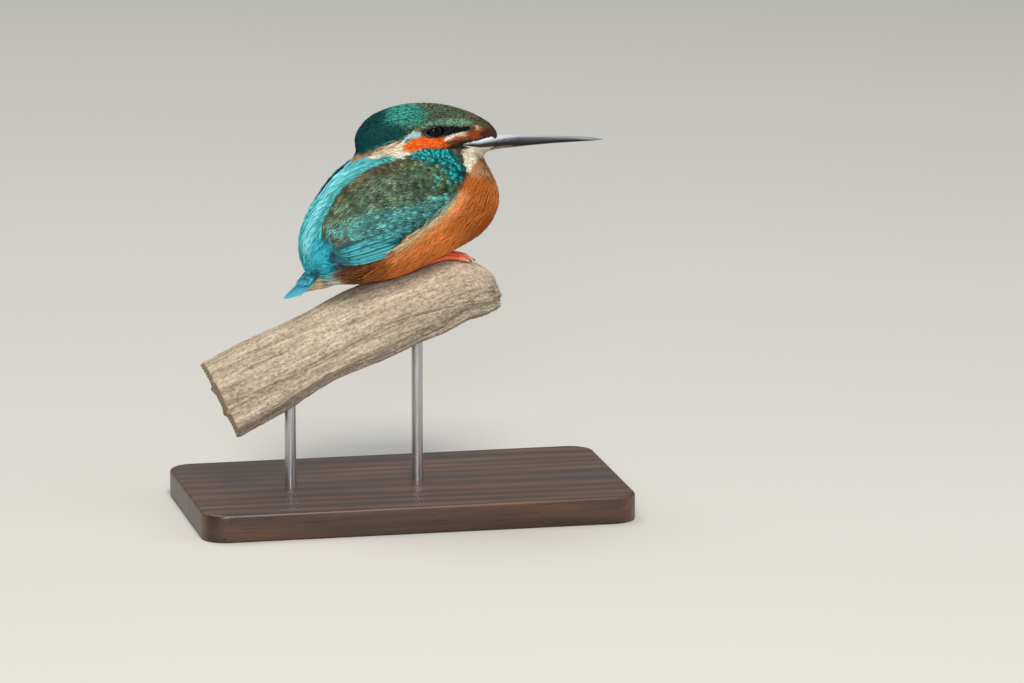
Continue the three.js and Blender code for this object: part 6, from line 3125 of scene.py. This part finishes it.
@dataclass
class Studio:
    """A pale floor, soft lights and the camera. Places are in metres."""

    aim: Triple = (0.0363, -0.0201, 0.0631)
    azimuth: float = math.radians(-12)
    elevation: float = math.radians(12)
    distance: float = 2.5
    frame_width: float = 0.3626
    sensor: float = 36.0
    floor_radius: float = 14.0
    ambient: float = 0.42
    boxes: tuple[SoftBox, ...] = (
        SoftBox("key_light", (-0.1, -1.4, 1.9), 0.6, 50.0, Tint(255, 248, 238)),
        SoftBox("front_light", (-0.55, -2.1, 0.7), 0.45, 17.0),
        SoftBox("side_light", (1.6, -0.8, 0.9), 1.5, 9.0, Tint(240, 246, 255)),
        SoftBox("top_light", (-0.5, 0.7, 2.0), 1.2, 22.0),
    )

    def build(self) -> None:
        """Set up floor, world, lights and camera."""
        target = Vector(self.aim)
        for box in self.boxes:
            box.build(target)
        world = bpy.data.worlds.new("studio")
        world.use_nodes = True
        sky = world.node_tree.nodes["Background"]
        sky.inputs["Color"].default_value = Tint(232, 234, 236).rgba()
        sky.inputs["Strength"].default_value = self.ambient
        bpy.context.scene.world = world
        bpy.context.scene.view_settings.view_transform = "Standard"
        self.floor()
        self.camera(target)

    def floor(self) -> None:
        """Lay the floor."""
        work = bmesh.new()
        bmesh.ops.create_circle(work, cap_ends=True, segments=96, radius=self.floor_radius)
        mesh = solid_mesh(work, "floor")
        mesh.materials.append(FloorFinish().material())
        floor = bpy.data.objects.new("studio_floor", mesh)
        bpy.context.scene.collection.objects.link(floor)

    def camera(self, target: Vector) -> None:
        """Stand the camera at the bird's right side, a little in front and above.

        Args:
            target: Where it looks, in m.
        """
        a, e = self.azimuth, self.elevation
        back = Vector((math.sin(a) * math.cos(e), -math.cos(a) * math.cos(e), math.sin(e)))
        lens = bpy.data.cameras.new("studio_camera")
        lens.sensor_width = self.sensor
        lens.lens = self.sensor * self.distance / self.frame_width
        lens.clip_start, lens.clip_end = 0.05, 60.0
        holder = bpy.data.objects.new("studio_camera", lens)
        holder.location = target + back * self.distance
        holder.rotation_euler = (-back).to_track_quat("-Z", "Y").to_euler()
        bpy.context.scene.collection.objects.link(holder)
        bpy.context.scene.camera = holder


def main() -> None:
    """Build the scene in order."""
    logging.basicConfig(level=logging.INFO, format="%(name)s: %(message)s")
    Studio().build()
    Stand().build()
    Branch().build()
    finder = WingFinder()
    surface = Skin().build(finder)
    for side in (RIGHT, LEFT):
        Eye(EyePlace(side), surface).build()
        Gape(side, surface).build()
        Foot(side).build()
        Wing(side, 60 + side).build()
    Bill().build()
    Tail().build()
    BodyCoat(surface, finder).build()
    bpy.context.view_layer.update()


if __name__ == "__main__":
    main()
